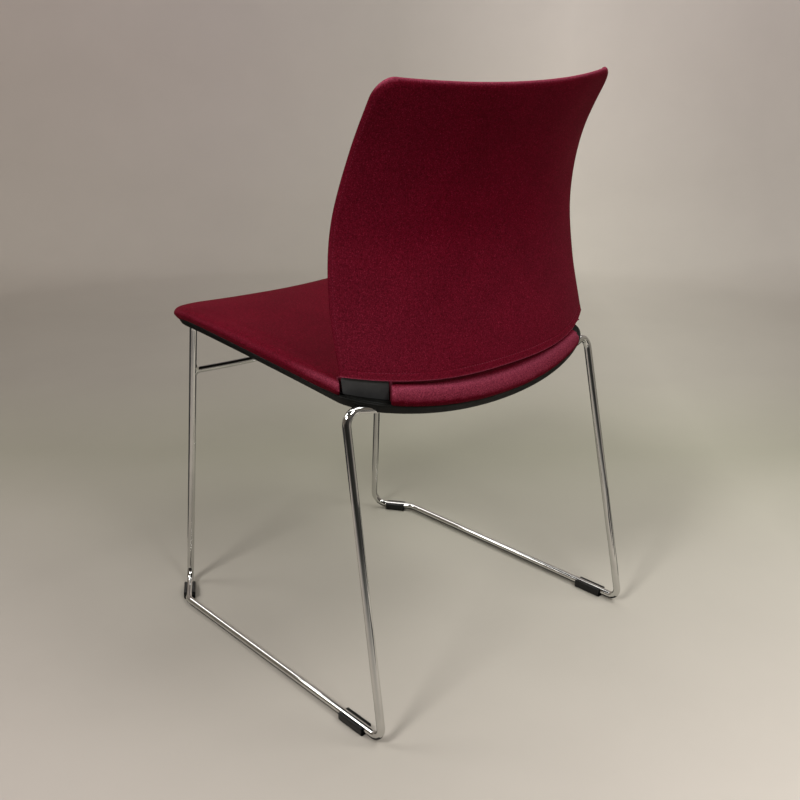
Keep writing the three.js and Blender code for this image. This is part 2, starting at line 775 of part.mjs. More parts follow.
const backLine = new THREE.CatmullRomCurve3([
  new THREE.Vector3(HEM_HALF, HEM_Y, 0),
  new THREE.Vector3(WAIST_HALF, WAIST_Y, 0),
  new THREE.Vector3(LUMBAR_HALF, LUMBAR_Y, 0),
  new THREE.Vector3(SHOULDER_HALF, BLADE_Y, 0),
  new THREE.Vector3(TOP_HALF, TOP_Y, 0),
], false, 'catmullrom', 0.5);

// Point of the rear skin: side runs from -1 to 1 across, height from 0 at the hem to 1 at the top
function backSkin(side, height) {
  const station = backLine.getPoint(Math.min(Math.max(height, 0), 1));
  const power = HEM_LATE_SHARE + (TOP_LATE_SHARE - HEM_LATE_SHARE) * height;
  const turn = Math.abs(side) ** power;
  const wrap = HEM_WRAP + (TOP_WRAP - HEM_WRAP) * height;
  const low = HEM_Z + HEM_RISE * turn;
  const high = TOP_Z + TOP_RISE * turn;
  return new THREE.Vector3(
    station.x * side, station.y - wrap * turn, low + (high - low) * height,
  );
}

// Direction from the rear skin towards the sitter
function backInward(side, height) {
  const step = SLOPE_SHARE;
  const across = backSkin(side + step, height).sub(backSkin(side - step, height));
  const at = Math.min(Math.max(height, step), 1 - step);
  const up = backSkin(side, at + step).sub(backSkin(side, at - step));
  return across.cross(up).normalize();
}

// Height and edge inset of a row, the last third of the rows going round the top corners
function backRow(v, inset) {
  const tall = TOP_Z - HEM_Z;
  const corner = BACK_CORNER / tall;
  const straight = STRAIGHT_SHARE;
  if (v <= straight) return { height: (1 - corner) * (v / straight), edge: inset };
  const angle = ((v - straight) / (1 - straight)) * (Math.PI / 2);
  return {
    height: 1 - corner * (1 - Math.sin(angle)) - (inset / tall) * Math.sin(angle),
    edge: inset + (BACK_CORNER - inset) * (1 - Math.cos(angle)),
  };
}

// Thickness of the upholstered back, thinner at its edges
function backDepth(side, v) {
  const swell = (1 - Math.abs(side) ** SWELL_ACROSS_SHARE)
    * (1 - Math.abs(2 * v - 1) ** SWELL_UP_SHARE);
  return BACK_EDGE + (BACK_THICK - BACK_EDGE) * swell;
}

// Slab of the back between two depths below the rear skin
function backSlab({ layers, inset, roll, from, to, drop }) {
  const geometry = new THREE.BoxGeometry(2, 1, 1, 14, 15, layers);
  const spots = geometry.attributes.position;
  for (let i = 0; i < spots.count; i += 1) {
    const across = spots.getX(i);
    const v = spots.getY(i) + 0.5;
    const layer = 0.5 + spots.getZ(i);
    const rounding = roll * (1 - Math.sin(Math.PI * layer));
    const { height, edge } = backRow(v, inset + rounding);
    const half = backSkin(1, height).x;
    const side = across * (1 - edge / half);
    const skin = backSkin(side, height);
    const depth = from(side, v) + (to(side, v) - from(side, v)) * layer;
    skin.addScaledVector(backInward(side, height), depth);
    if (v === 0) skin.z -= drop;
    spots.setXYZ(i, skin.x, skin.y, skin.z);
  }
  return geometry;
}

function backBlock() {
  return toSolid(backSlab({
    layers: 3, inset: 0, roll: BACK_ROLL, from: () => 0, to: backDepth, drop: 0,
  }));
}

// Hollow of the cover, made smaller by the room and open at the hem
function backHollow(room) {
  return toSolid(backSlab({
    layers: 1, inset: 2 * COVER + room, roll: BACK_ROLL / 2,
    from: () => COVER + room, to: (side, v) => backDepth(side, v) - COVER - room, drop: HEM,
  }));
}

// Everything in front of a surface at the given depth below the rear skin
function backFront(depth) {
  return toSolid(backSlab({
    layers: 1, inset: -2 * COVER, roll: 0, from: () => depth, to: () => 2 * BACK_THICK, drop: 2 * HEM,
  }));
}

// Where the outer face of an upright meets the seat shell
function footSpot(side) {
  const hem = backSkin(side, 0);
  const radial = new THREE.Vector3(-hem.x, -hem.y, 0).normalize();
  return { hem, radial, foot: hem.clone().addScaledVector(radial, FOOT_SET) };
}

// Outer and inner corners of an upright's section, from inside the cover down to its foot
function uprightSection(side) {
  const under = COVER + GAP;
  const rows = [];
  for (const height of TAIL_SHARES) {
    const skin = backSkin(side, height);
    const inward = backInward(side, height);
    rows.push([
      skin.clone().addScaledVector(inward, under + GAP),
      skin.clone().addScaledVector(inward, under + PANEL - GAP),
    ]);
  }
  const { hem, radial, foot } = footSpot(side);
  const base = seatZ(foot.x, foot.y) + PAN_TOP + GAP;
  for (const [share, thick] of [[0.5, PANEL], [1, UPRIGHT_FOOT]]) {
    const spot = hem.clone().addScaledVector(radial, under + GAP).lerp(foot, share);
    const rise = (hem.z - base) * (1 - share);
    const inner = spot.clone().addScaledVector(radial, thick);
    rows.push([
      spot.setZ(seatZ(spot.x, spot.y) + PAN_TOP + GAP + rise),
      inner.setZ(seatZ(inner.x, inner.y) + PAN_TOP + GAP + rise),
    ]);
  }
  return rows;
}

function upright() {
  const rows = uprightSection(1).length - 1;
  const geometry = new THREE.BoxGeometry(1, 1, 1, 10, rows, 1);
  const spots = geometry.attributes.position;
  for (let i = 0; i < spots.count; i += 1) {
    const side = UPRIGHT_IN_SHARE
      + (UPRIGHT_OUT_SHARE - UPRIGHT_IN_SHARE) * (spots.getX(i) + 0.5);
    const row = Math.round((0.5 - spots.getY(i)) * rows);
    const kept = row < 2 ? Math.min(side, UPRIGHT_TAPER_SHARE) : side;
    const corner = uprightSection(kept)[row][spots.getZ(i) > 0 ? 1 : 0];
    spots.setXYZ(i, corner.x, corner.y, corner.z);
  }
  return geometry;
}

// Stiff panel behind the foam, with the two uprights that carry it on the seat shell
function backShell(end) {
  const hollow = backHollow(GAP);
  const leg = toSolid(upright());
  const floor = toSolid(backSlab({
    layers: 1, inset: 0, roll: 0, from: () => 0, to: () => 2 * BACK_THICK, drop: 0,
  }));
  const panel = hollow.subtract(backFront(COVER + PANEL)).intersect(floor);
  const legs = leg.add(toSolid(mirrored(upright())));
  const relief = toSolid(weldRelief(end)).add(toSolid(mirrored(weldRelief(end))));
  return toGeometry(panel.add(legs.subtract(backBlock().subtract(hollow))).subtract(relief));
}

function addBack(end) {
  addPart('back_shell', backShell(end), plastic);
  const filling = backHollow(GAP).intersect(backFront(COVER + PANEL + GAP)).intersect(backBlock());
  addPart('back_foam', toGeometry(filling), foam);
  addPart('back_cover', toGeometry(backBlock().subtract(backHollow(0))), felt);
}

const seatRailEnd = addFrame();
addGlides();
addMounts(seatRailEnd);
addSeat(seatRailEnd);
addBack(seatRailEnd);

export default PARTS;
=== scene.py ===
import json
import math

import bpy
import numpy as np
from mathutils import Matrix, Vector

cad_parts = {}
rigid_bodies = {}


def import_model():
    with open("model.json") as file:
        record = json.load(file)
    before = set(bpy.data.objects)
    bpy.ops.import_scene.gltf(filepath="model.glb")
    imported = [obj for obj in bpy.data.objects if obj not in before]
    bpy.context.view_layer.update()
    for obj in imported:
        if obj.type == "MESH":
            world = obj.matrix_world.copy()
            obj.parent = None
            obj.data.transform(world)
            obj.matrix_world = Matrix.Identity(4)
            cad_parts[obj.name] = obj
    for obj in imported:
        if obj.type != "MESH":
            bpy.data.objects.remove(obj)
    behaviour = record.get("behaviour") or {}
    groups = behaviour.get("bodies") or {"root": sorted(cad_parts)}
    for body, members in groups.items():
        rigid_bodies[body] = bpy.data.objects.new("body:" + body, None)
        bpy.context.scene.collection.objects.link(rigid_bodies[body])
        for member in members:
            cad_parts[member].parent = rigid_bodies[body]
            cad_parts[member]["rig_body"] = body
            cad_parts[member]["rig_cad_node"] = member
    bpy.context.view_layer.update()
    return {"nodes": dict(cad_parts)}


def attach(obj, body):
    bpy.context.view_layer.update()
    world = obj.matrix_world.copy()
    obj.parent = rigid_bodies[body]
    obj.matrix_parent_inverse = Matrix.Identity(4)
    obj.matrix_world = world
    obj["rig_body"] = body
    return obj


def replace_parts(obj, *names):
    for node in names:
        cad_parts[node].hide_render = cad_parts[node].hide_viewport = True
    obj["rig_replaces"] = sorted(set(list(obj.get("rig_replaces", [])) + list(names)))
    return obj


# Sled base visitor chair, dressed for its photograph: chromed rod frame, black moulded shells
# and a maroon felt seat pad and back sleeve. The chair's lengths are millimetres, in its maker's
# axes. The studio's are metres, as the scene's are.

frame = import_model()
nodes = frame["nodes"]

MM = 0.001
GAP = 0.3  # between pieces that touch, are welded or are glued
SIDES = (("left", 1), ("right", -1))
BASE_SHIFT_Y = 31  # the maker's axes start this far behind the middle of the frame's box

# Frame: diameters, the corners of the left rod's line and the radii of its bends
ROD = 11
BAR = 10
ROD_Z = 8.5  # middle of the runners
LEG_TOP = (187.6, -252.9, 455)
FRONT_FOOT = (203.3, -292.8, ROD_Z)
TOE = (244.7, -231.5, ROD_Z)
REAR_FOOT = (252.7, 231.5, ROD_Z)
REAR_TOP = (235.5, 149.6, 430.4)
SHOULDER = (165, 163, 420)
CROSS_Y = 177  # the cross run under the seat's rear, in the middle
CROSS_Z = 404.5
CROSS_HANDLE = 90  # how far out from the middle its curve is pulled level
LEG_TOP_BEND = 20
FRONT_FOOT_BEND = 24
TOE_BEND = 30
REAR_FOOT_BEND = 15
REAR_TOP_BEND = 18
BAR_Z = 370.8
BAR_SAG = 7

# Glide sizes
GLIDE_WIDTH = 18
GLIDE_FRONT_LENGTH = 34
GLIDE_REAR_LENGTH = 46
GLIDE_FRONT_SET = 42  # along the runner from the foot's corner
GLIDE_REAR_SET = 55
GLIDE_CORNER = 4
GLIDE_EASE = 1.4
LIP_ANGLE = math.pi * 0.27  # from level up to the tip of the lips

# Seat surface and outline
SEAT_Z = 419.5
SEAT_SPAN_Y = 230
SEAT_FALL = 21.5
SEAT_BOW = 4.4
SEAT_SPAN_X = 228
SIDE_RISE = 26
WATERFALL_Y = -140
WATERFALL = 9
SEAT_FRONT_Y = -272
CORNER_FRONT = (168, -266)
CORNER_TIP = (230, -260)
CORNER_SIDE = (235, -198)
SIDE_BELLY = (240, -60)
SIDE_REAR = (231, 130)
REAR_TIP = (226, 150)
REAR_CORNER = (199, 166)
REAR_PULL_X = 122
SEAT_REAR_Y = 198

# Seat shell sizes
SKIRT = 12
SKIRT_SIDE = 9.5
SKIRT_REAR_Y = 150
SKIRT_BLEND = 60
SKIRT_DRAFT = 4.5
SKIRT_WALL = 3
SKIRT_EASE = 1
PAN_TOP = 14
WALL = 3.5
LEDGE = 6
RIB = 2.5
RIB_DEPTH = 4
BOSS_REACH = 8
RIB_REACH_X = 150
RIB_FRONT_Y = -225
RIB_REAR_Y = 150
RIB_PITCH_X = 70
RIB_PITCH_Y = 115
ROD_CLEAR = 0.6
BOSS = 15
SCREW_HOLE = 6.6
BOSS_START = 1.8  # along the screw from the middle of its tab
BOSS_END = 28
TAB_IN = 17  # from the seat rail's inner side to the middle of a tab
TAB_DROP = 3
TABS_Y = (-190, 100)
RAIL_RELIEF = 3.6  # room round the rail's end for its weld
RAIL_RELIEF_REACH = 9
CUT_LOW = 300  # heights well below and well above the seat, for pieces that are cut to it
CUT_HIGH = 500

# Seat pad sizes
PAD = 25.5
PAD_CROWN = 10
PAD_SIDE_DROP = 9
PAD_FRONT_DROP = 1
PAD_CORNER_DROP = 8
PAD_REAR_DROP = 5
PAD_EDGE = 12
PAD_TUCK = 1
BULGE = 3
BULGE_FRONT = 7.5
BULGE_REAR = 6
PAD_REAR_LIFT = 8.5
PAD_REAR_LIFT_BEND = 3
PAD_BROAD = 8.5  # by which the roll at the sides and front is broader
PAD_DRAPE = 5
DRAPE_X = 175  # from here outward and forward the felt hangs down over the skirt
DRAPE_Y = -185
DRAPE_BLEND_X = 45
DRAPE_BLEND_Y = 50
COVER = 1.5
BOARD = 4
NOTCH_ROOM = 3  # in front of an upright's foot and inward of it
NOTCH_ROOM_REAR = -2.4  # inward of it at the rear, where the felt closes in
NOTCH_ROOM_SIDE = 3  # outward of it
NOTCH_LOW = 350
NOTCH_HIGH = 560
PAD_VOXEL = 3
PAD_POINTS = 220
TUCK_DEPTH = 3  # of the pad's edge below the top of the skirt
HEM = 18

# Back sizes
HEM_Z = 448.5
TOP_Z = 800.5
# Half width and depth of the rear skin, in even steps from the hem to the top
BACK_LINE = ((233.5, 200), (231, 173.5), (224, 163.5), (213.5, 180), (210, 219))
HEM_WRAP = 61  # by which the edges come forward of the middle, at the hem and at the top
TOP_WRAP = 33
HEM_RISE = 21  # by which the edges stand higher than the middle
TOP_RISE = 12
HEM_LATE = 2.6  # powers by which both set in towards the edges
TOP_LATE = 2.1
BACK_CORNER = 25
BACK_THICK = 17
BACK_EDGE = 7.5
BACK_ROLL = 7
PANEL = 5
UPRIGHT_IN = 0.778  # sides of an upright, as shares of the skin's half width
UPRIGHT_OUT = 1
UPRIGHT_TAPER = 0.975
UPRIGHT_FOOT = 10
FOOT_SET = 10
BACK_STRAIGHT_SHARE = 0.62  # of the back's rows, the rest go round its top corners
SHELL_EASE = 0.9
SEAM_IN = 4.6  # from the sleeve's widest edge to its side seam
SEAM_DEPTH = 1.1
SEAM_WIDTH = 0.9
HEM_FOLD = 9  # height of the turned hem
HEM_STEP = 0.5  # by which the turned hem stands out
HEM_ROLL = 0.6  # and its lower edge more than that
HEM_LINE = 0.3  # depth of the stitched line above it
HEM_LINE_UP = 0.3
HEM_LINE_WIDTH = 0.8
SLEEVE_HALF = 224  # half width at which the sleeve's columns are spaced
SLEEVE_WAVE = 0.35
SLEEVE_MARGIN = 0.1


# Handling pieces
def pick_none():
    if bpy.context.mode != "OBJECT":
        bpy.ops.object.mode_set(mode="OBJECT")
    bpy.ops.object.select_all(action="DESELECT")


def pick(piece):
    pick_none()
    piece.select_set(True)
    bpy.context.view_layer.objects.active = piece


def apply_all(piece):
    pick(piece)
    for modifier in list(piece.modifiers):
        bpy.ops.object.modifier_apply(modifier=modifier.name)


def place(points):
    """Millimetres in the maker's own axes to metres in the shared frame."""
    spots = np.asarray(points, float).reshape(-1, 3).copy()
    spots[:, 1] += BASE_SHIFT_Y
    return spots * MM


def new_mesh(name, points, faces):
    mesh = bpy.data.meshes.new(name)
    mesh.from_pydata([tuple(p) for p in points], [], [tuple(int(i) for i in f) for f in faces])
    mesh.update()
    piece = bpy.data.objects.new(name, mesh)
    bpy.context.scene.collection.objects.link(piece)
    return piece


def tidy(piece, angle, merge=0.00001):
    """Doubles merged, normals outward, smooth but for edges sharper than the angle."""
    pick(piece)
    bpy.ops.object.mode_set(mode="EDIT")
    bpy.ops.mesh.select_all(action="SELECT")
    bpy.ops.mesh.remove_doubles(threshold=merge)
    bpy.ops.mesh.normals_make_consistent(inside=False)
    bpy.ops.object.mode_set(mode="OBJECT")
    bpy.ops.object.shade_smooth_by_angle(angle=math.radians(angle))


def combine(piece, tool, operation):
    """Boolean of a piece with a tool, which is used up."""
    modifier = piece.modifiers.new("join", "BOOLEAN")
    modifier.operation = operation
    modifier.solver = "MANIFOLD"
    modifier.object = tool
    pick(piece)
    bpy.ops.object.modifier_apply(modifier=modifier.name)
    bpy.data.objects.remove(tool)


def bevel(piece, width, segments, angle):
    modifier = piece.modifiers.new("edges", "BEVEL")
    modifier.width = width * MM
    modifier.segments = segments
    modifier.limit_method = "ANGLE"
    modifier.angle_limit = math.radians(angle)
    modifier.harden_normals = False
    apply_all(piece)


def dress(piece, material, slot, *replaced):
    piece.data.materials.clear()
    piece.data.materials.append(material)
    if replaced:
        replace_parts(piece, *replaced)
    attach(piece, "root")
    return piece


def mirror_copy(piece, name):
    """The same piece on the chair's other side, with its own mesh."""
    twin = piece.copy()
    twin.data = piece.data.copy()
    twin.name = name
    bpy.context.scene.collection.objects.link(twin)
    twin.data.transform(Matrix.Scale(-1, 4, (1, 0, 0)))
    twin.data.flip_normals()
    return twin


def box_mesh(name, low, high):
    low, high = place(low)[0], place(high)[0]
    pick_none()
    bpy.ops.mesh.primitive_cube_add(size=1, location=(0, 0, 0))
    piece = bpy.context.object
    piece.name = name
    size = Matrix.Diagonal((*(high - low), 1))
    piece.data.transform(Matrix.Translation((low + high) / 2) @ size)
    return piece


def cylinder_between(name, start, end, radius, sides=48):
    """Closed round bar between two points in millimetres."""
    a, b = (Vector(p) for p in place([start, end]))
    pick_none()
    bpy.ops.mesh.primitive_cylinder_add(vertices=sides, radius=radius * MM, depth=(b - a).length)
    piece = bpy.context.object
    piece.name = name
    turn = (b - a).to_track_quat("Z", "Y").to_matrix().to_4x4()
    piece.data.transform(Matrix.Translation((a + b) / 2) @ turn)
    return piece


# Finishes
class Finish:
    """A node material with a few short ways to add its layers."""

    def __init__(self, name):
        self.material = bpy.data.materials.new(name)
        self.material.use_nodes = True
        self.tree = self.material.node_tree
        self.shader = self.tree.nodes["Principled BSDF"]
        self.coords = self.tree.nodes.new("ShaderNodeTexCoord").outputs["Object"]

    def link(self, source, target):
        self.tree.links.new(source, target)

    def feed(self, value, socket):
        """A link where the value is another node's output, and else the plain value."""
        if isinstance(value, bpy.types.NodeSocket):
            self.link(value, socket)
        else:
            socket.default_value = value

    def set(self, name, value):
        self.feed(value, self.shader.inputs[name])

    def node(self, kind, **inputs):
        """A new node with its inputs fed by name, an underscore standing for a space."""
        node = self.tree.nodes.new("ShaderNode" + kind)
        for name, value in inputs.items():
            self.feed(value, node.inputs[name.replace("_", " ")])
        return node

    def stretched(self, scale):
        return self.node("Mapping", Vector=self.coords, Scale=scale).outputs["Vector"]

    def noise(self, scale, detail=3, roughness=0.55, coords=None):
        return self.node("TexNoise", Vector=coords or self.coords, Scale=scale, Detail=detail,
                         Roughness=roughness).outputs["Fac"]

    def ramp(self, source, stops):
        node = self.node("ValToRGB", Fac=source)
        elements = node.color_ramp.elements
        while len(elements) < len(stops):
            elements.new(0.5)
        for element, (position, colour) in zip(elements, stops):
            element.position = position
            element.color = (*colour, 1)
        return node.outputs["Color"]

    def spread(self, source, low, high, from_low=0.3, from_high=0.7):
        return self.node("MapRange", Value=source, From_Min=from_low, From_Max=from_high,
                         To_Min=low, To_Max=high).outputs["Result"]

    def mix(self, kind, share, first, second):
        node = self.node("Mix")
        node.data_type = "RGBA"
        node.blend_type = kind
        for value, name in ((share, "Factor"), (first, "A"), (second, "B")):
            self.feed(value, next(s for s in node.inputs if s.name == name and s.enabled))
        return next(s for s in node.outputs if s.enabled)

    def math(self, kind, first, second):
        node = self.node("Math")
        node.operation = kind
        self.feed(first, node.inputs[0])
        self.feed(second, node.inputs[1])
        return node.outputs["Value"]

    def bump(self, height, distance, strength, below=None):
        node = self.node("Bump", Height=height, Distance=distance, Strength=strength)
        if below is not None:
            self.link(below, node.inputs["Normal"])
        return node.outputs["Normal"]


# Colours are linear red, green and blue, each with its place on a ramp
CHROME_TONES = ((0.35, (0.58, 0.58, 0.565)), (0.65, (0.66, 0.66, 0.64)))
STEEL_TONES = ((0.3, (0.20, 0.20, 0.205)), (0.7, (0.34, 0.34, 0.345)))
# The seat shell and the uprights are one black plastic: the shell's tones are painted darker as shade on
# its skirt, the uprights' painted lighter as the light that falls on them
SHELL_PAINTED_SHADE_TONES = ((0.3, (0.0034, 0.0036, 0.0030)), (0.72, (0.0066, 0.0068, 0.0058)))
UPRIGHT_PAINTED_LIGHT_TONES = ((0.3, (0.0330, 0.0330, 0.0332)), (0.72, (0.0540, 0.0540, 0.0550)))
GLIDE_TONES = ((0.3, (0.0036, 0.0036, 0.0036)), (0.72, (0.0065, 0.0065, 0.0065)))
YARN_TONES = ((0.32, (0.042, 0.0004, 0.0021)), (0.47, (0.080, 0.0009, 0.0060)),
              (0.59, (0.116, 0.0020, 0.0118)), (0.72, (0.236, 0.0210, 0.0470)))
# paler reds of the felt's painted highlight
PAINTED_HIGHLIGHT_TONES = ((0.34, (0.125, 0.0120, 0.0290)), (0.66, (0.340, 0.0600, 0.1020)))
TUFT_TONES = ((0.36, (0.78, 0.78, 0.78)), (0.64, (1.19, 1.19, 1.19)))
CLOUD_TONES = ((0.3, (0.92, 0.92, 0.92)), (0.7, (1.08, 1.08, 1.08)))
SHEEN_TINT = (1.0, 0.24, 0.24, 1)
THREAD_TONES = ((0.35, (0.100, 0.0050, 0.0150)), (0.65, (0.210, 0.0220, 0.0480)))
FOAM_TONES = ((0.3, (0.46, 0.40, 0.24)), (0.7, (0.66, 0.60, 0.42)))
PLYWOOD_TONES = ((0.3, (0.24, 0.14, 0.06)), (0.7, (0.42, 0.28, 0.15)))


def chrome_finish():
    """Bright plate with a faint smear and ripple."""
    f = Finish("chromed rod")
    smear = f.noise(18, 3, 0.6)
    f.set("Base Color", f.ramp(smear, CHROME_TONES))
    f.set("Metallic", 1.0)
    f.set("Roughness", f.spread(f.noise(60, 4, 0.65), 0.02, 0.05))
    f.set("Normal", f.bump(f.noise(220, 2, 0.5), 0.0001, 0.05))
    return f.material


def steel_finish():
    """Grey steel of the tabs and screws, a little scuffed."""
    f = Finish("pressed steel")
    f.set("Base Color", f.ramp(f.noise(45, 4, 0.6), STEEL_TONES))
    f.set("Metallic", 1.0)
    f.set("Roughness", f.spread(f.noise(160, 3, 0.6), 0.32, 0.5))
    f.set("Normal", f.bump(f.noise(700, 2, 0.5), 0.0001, 0.3))
    return f.material


def plastic_finish(name, tones, rough, grain, shine):
    """Moulded black plastic: a fine spark-eroded grain, slightly dusty on its high spots."""
    f = Finish(name)
    f.set("Base Color", f.ramp(f.noise(30, 4, 0.65), tones))
    f.set("Roughness", f.spread(f.noise(90, 4, 0.6), rough - 0.06, rough + 0.08))
    f.set("Specular IOR Level", shine)
    f.set("Normal", f.bump(f.noise(grain, 2, 0.5), 0.00012, 0.35))
    return f.material


def felt_finish():
    """Maroon wool felt: mottled fibres of several reds, a soft nap that catches grazing light."""
    f = Finish("maroon felt")
    fibre = f.noise(760, 5, 0.72)
    yarns = f.ramp(fibre, YARN_TONES)
    tufts = f.ramp(f.noise(420, 3, 0.65), TUFT_TONES)
    cloud = f.ramp(f.noise(16, 3, 0.55), CLOUD_TONES)
    wool = f.mix("MULTIPLY", 1.0, f.mix("MULTIPLY", 1.0, yarns, tufts), cloud)
    # Paler felt mixed in by a vertex attribute: painted highlight where light catches the rolls, the
    # hem's edge and faces turned up or aside
    painted_highlight = f.node("Attribute")
    painted_highlight.attribute_name = "painted_highlight"
    paler = f.mix("MULTIPLY", 1.0, f.ramp(fibre, PAINTED_HIGHLIGHT_TONES), tufts)
    f.set("Base Color", f.mix("MIX", painted_highlight.outputs["Fac"], wool, paler))
    f.set("Roughness", f.spread(fibre, 0.88, 0.98))
    f.set("Specular IOR Level", 0.04)
    f.set("Sheen Weight", 0.035)
    f.set("Sheen Roughness", 0.3)
    f.set("Sheen Tint", SHEEN_TINT)
    nap = f.bump(fibre, 0.0005, 0.5)
    f.set("Normal", f.bump(f.noise(260, 2, 0.5), 0.0006, 0.25, nap))
    return f.material


def mark_painted_highlight(piece, share_at):
    """Vertex values of painted highlight on the felt, from each spot and its normal."""
    normals = np.array([v.normal for v in piece.data.vertices])
    spots = np.array([v.co for v in piece.data.vertices]) / MM
    piece.data.attributes.new("painted_highlight", "FLOAT", "POINT").data.foreach_set(
        "value", np.clip(share_at(spots, normals), 0, 1))


def between(value, low, high):
    return np.clip((value - low) / (high - low), 0, 1)


def crease(away, width):
    """A soft line: 1 in its middle and next to nothing past twice its width."""
    return np.exp(-(away / width) ** 2)


ROLL_START_Y = BASE_SHIFT_Y + 40  # the painted highlight on the pad's roll grows from here to full at the rear
ROLL_FULL_Y = BASE_SHIFT_Y + 150
TOP_ROLL_Z = (770, 785)


def pad_painted_highlight(spots, normals):
    """Painted highlight over the rear roll where it faces up, and a little over the sides towards the
    rear.
    """
    roll = between(normals[:, 2], -0.15, 0.55) * between(-normals[:, 2], -0.93, -0.73)
    return roll * (0.1 + 0.82 * between(spots[:, 1], ROLL_START_Y, ROLL_FULL_Y))


def sleeve_painted_highlight(spots, normals):
    """Painted highlight over the top roll where it faces up, along the turned hem's lower edge, and
    faintly where the felt faces up or aside.
    """
    x, y, z = spots.T
    side = np.linspace(0, 1, 80)
    hem = back_skin(side, np.zeros(len(side)))
    tall = z - np.interp(np.abs(x), hem[:, 0], hem[:, 2])
    behind = between(normals[:, 1], -0.1, 0.3)
    upward = between(normals[:, 2], -0.05 + 0.6 * (1 - behind), 0.55)
    # painted highlights: the top roll's upper face, the hem's lower edge, and faintly faces turned up or
    # aside
    top = 0.9 * upward * between(z, *TOP_ROLL_Z)
    turned = 0.85 * crease(tall - 0.4, 0.7) * behind
    aside = between(np.abs(normals[:, 0]), 0.12, 0.5)
    faces_highlight = 0.06 * behind * (between(normals[:, 2], -0.05, 0.25) + aside)
    return np.maximum(top, turned) + faces_highlight


def stitch_finish():
    """Twisted thread in the felt's colour, a shade paler."""
    f = Finish("maroon thread")
    twist = f.noise(1500, 2, 0.6)
    f.set("Base Color", f.ramp(twist, THREAD_TONES))
    f.set("Roughness", 0.8)
    f.set("Specular IOR Level", 0.1)
    f.set("Sheen Weight", 0.06)
    f.set("Normal", f.bump(twist, 0.0002, 0.4))
    return f.material


def foam_finish():
    """Yellowish foam with open cells, hidden in the sleeve."""
    f = Finish("cut foam")
    cells = f.noise(900, 3, 0.7)
    f.set("Base Color", f.ramp(cells, FOAM_TONES))
    f.set("Roughness", 0.95)
    f.set("Normal", f.bump(cells, 0.0005, 0.5))
    return f.material


def plywood_finish():
    """Plywood with its grain across the seat, hidden under the pad."""
    f = Finish("seat plywood")
    grain = f.noise(40, 6, 0.7, f.stretched((0.15, 3.0, 1.0)))
    f.set("Base Color", f.ramp(grain, PLYWOOD_TONES))
    f.set("Roughness", f.spread(grain, 0.55, 0.75))
    f.set("Normal", f.bump(grain, 0.0003, 0.3))
    return f.material


chrome = chrome_finish()
steel = steel_finish()
# the same plastic twice: painted darker for the shaded skirt, painted lighter for the lit uprights
shell_plastic = plastic_finish("moulded black plastic painted darker", SHELL_PAINTED_SHADE_TONES, 0.44, 1500, 0.13)
upright_plastic = plastic_finish("black plastic painted lighter", UPRIGHT_PAINTED_LIGHT_TONES, 0.55, 1100, 0.28)
glide_plastic = plastic_finish("black glide plastic", GLIDE_TONES, 0.36, 900, 0.3)
felt = felt_finish()
thread = stitch_finish()
foam = foam_finish()
plywood = plywood_finish()


# Bent rods
def bend_points(before, corner, after, radius):
    """Start, end and handles of the arc that rounds the corner between two straight runs."""
    before, corner, after = Vector(before), Vector(corner), Vector(after)
    back, ahead = (before - corner).normalized(), (after - corner).normalized()
    turn = math.pi - back.angle(ahead)
    reach = radius * math.tan(turn / 2)
    handle = reach - 4 / 3 * math.tan(turn / 4) * radius
    return (corner + back * reach, corner + back * handle,
            corner + ahead * handle, corner + ahead * reach)


def rod_curve(name, knots, diameter, sides=10, smooth=20):
    """Round rod along knots of (place, left handle, right handle), converted to a mesh."""
    pick_none()
    bpy.ops.curve.primitive_bezier_curve_add(location=(0, 0, 0))
    piece = bpy.context.object
    piece.name = name
    line = piece.data
    line.dimensions = "3D"
    line.bevel_depth = diameter / 2 * MM
    line.bevel_resolution = sides
    line.use_fill_caps = True
    spline = line.splines[0]
    spline.resolution_u = smooth
    spline.bezier_points.add(len(knots) - 2)
    for point, (at, left, right) in zip(spline.bezier_points, knots):
        point.handle_left_type = point.handle_right_type = "FREE"
        point.co, point.handle_left, point.handle_right = place([at, left, right])
    pick(piece)
    bpy.ops.object.convert(target="MESH")
    tidy(piece, 40)
    return piece


def along(a, b, share=1 / 3):
    """A place part of the way from a to b, for the handle of a straight run."""
    return Vector(a).lerp(Vector(b), share)


def rail_end(arc_end):
    """The seat rail stops short of the rear cross run by its half thickness and the gap."""
    cross = (arc_end, Vector(SHOULDER), Vector((CROSS_HANDLE, CROSS_Y, CROSS_Z)),
             Vector((GAP / 2, CROSS_Y, CROSS_Z)))
    best = None
    for step in range(201):
        t = step / 200
        spot = (cross[0] * (1 - t) ** 3 + cross[1] * 3 * t * (1 - t) ** 2
                + cross[2] * 3 * t * t * (1 - t) + cross[3] * t ** 3)
        if best is None or abs(spot.x - LEG_TOP[0]) < abs(best.x - LEG_TOP[0]):
            best = spot
    slope = abs((cross[3].y - cross[0].y) / (cross[3].x - cross[0].x))
    return Vector((LEG_TOP[0], best.y - ROD / 2 * (1 + 2 * slope) - GAP, best.z)), cross


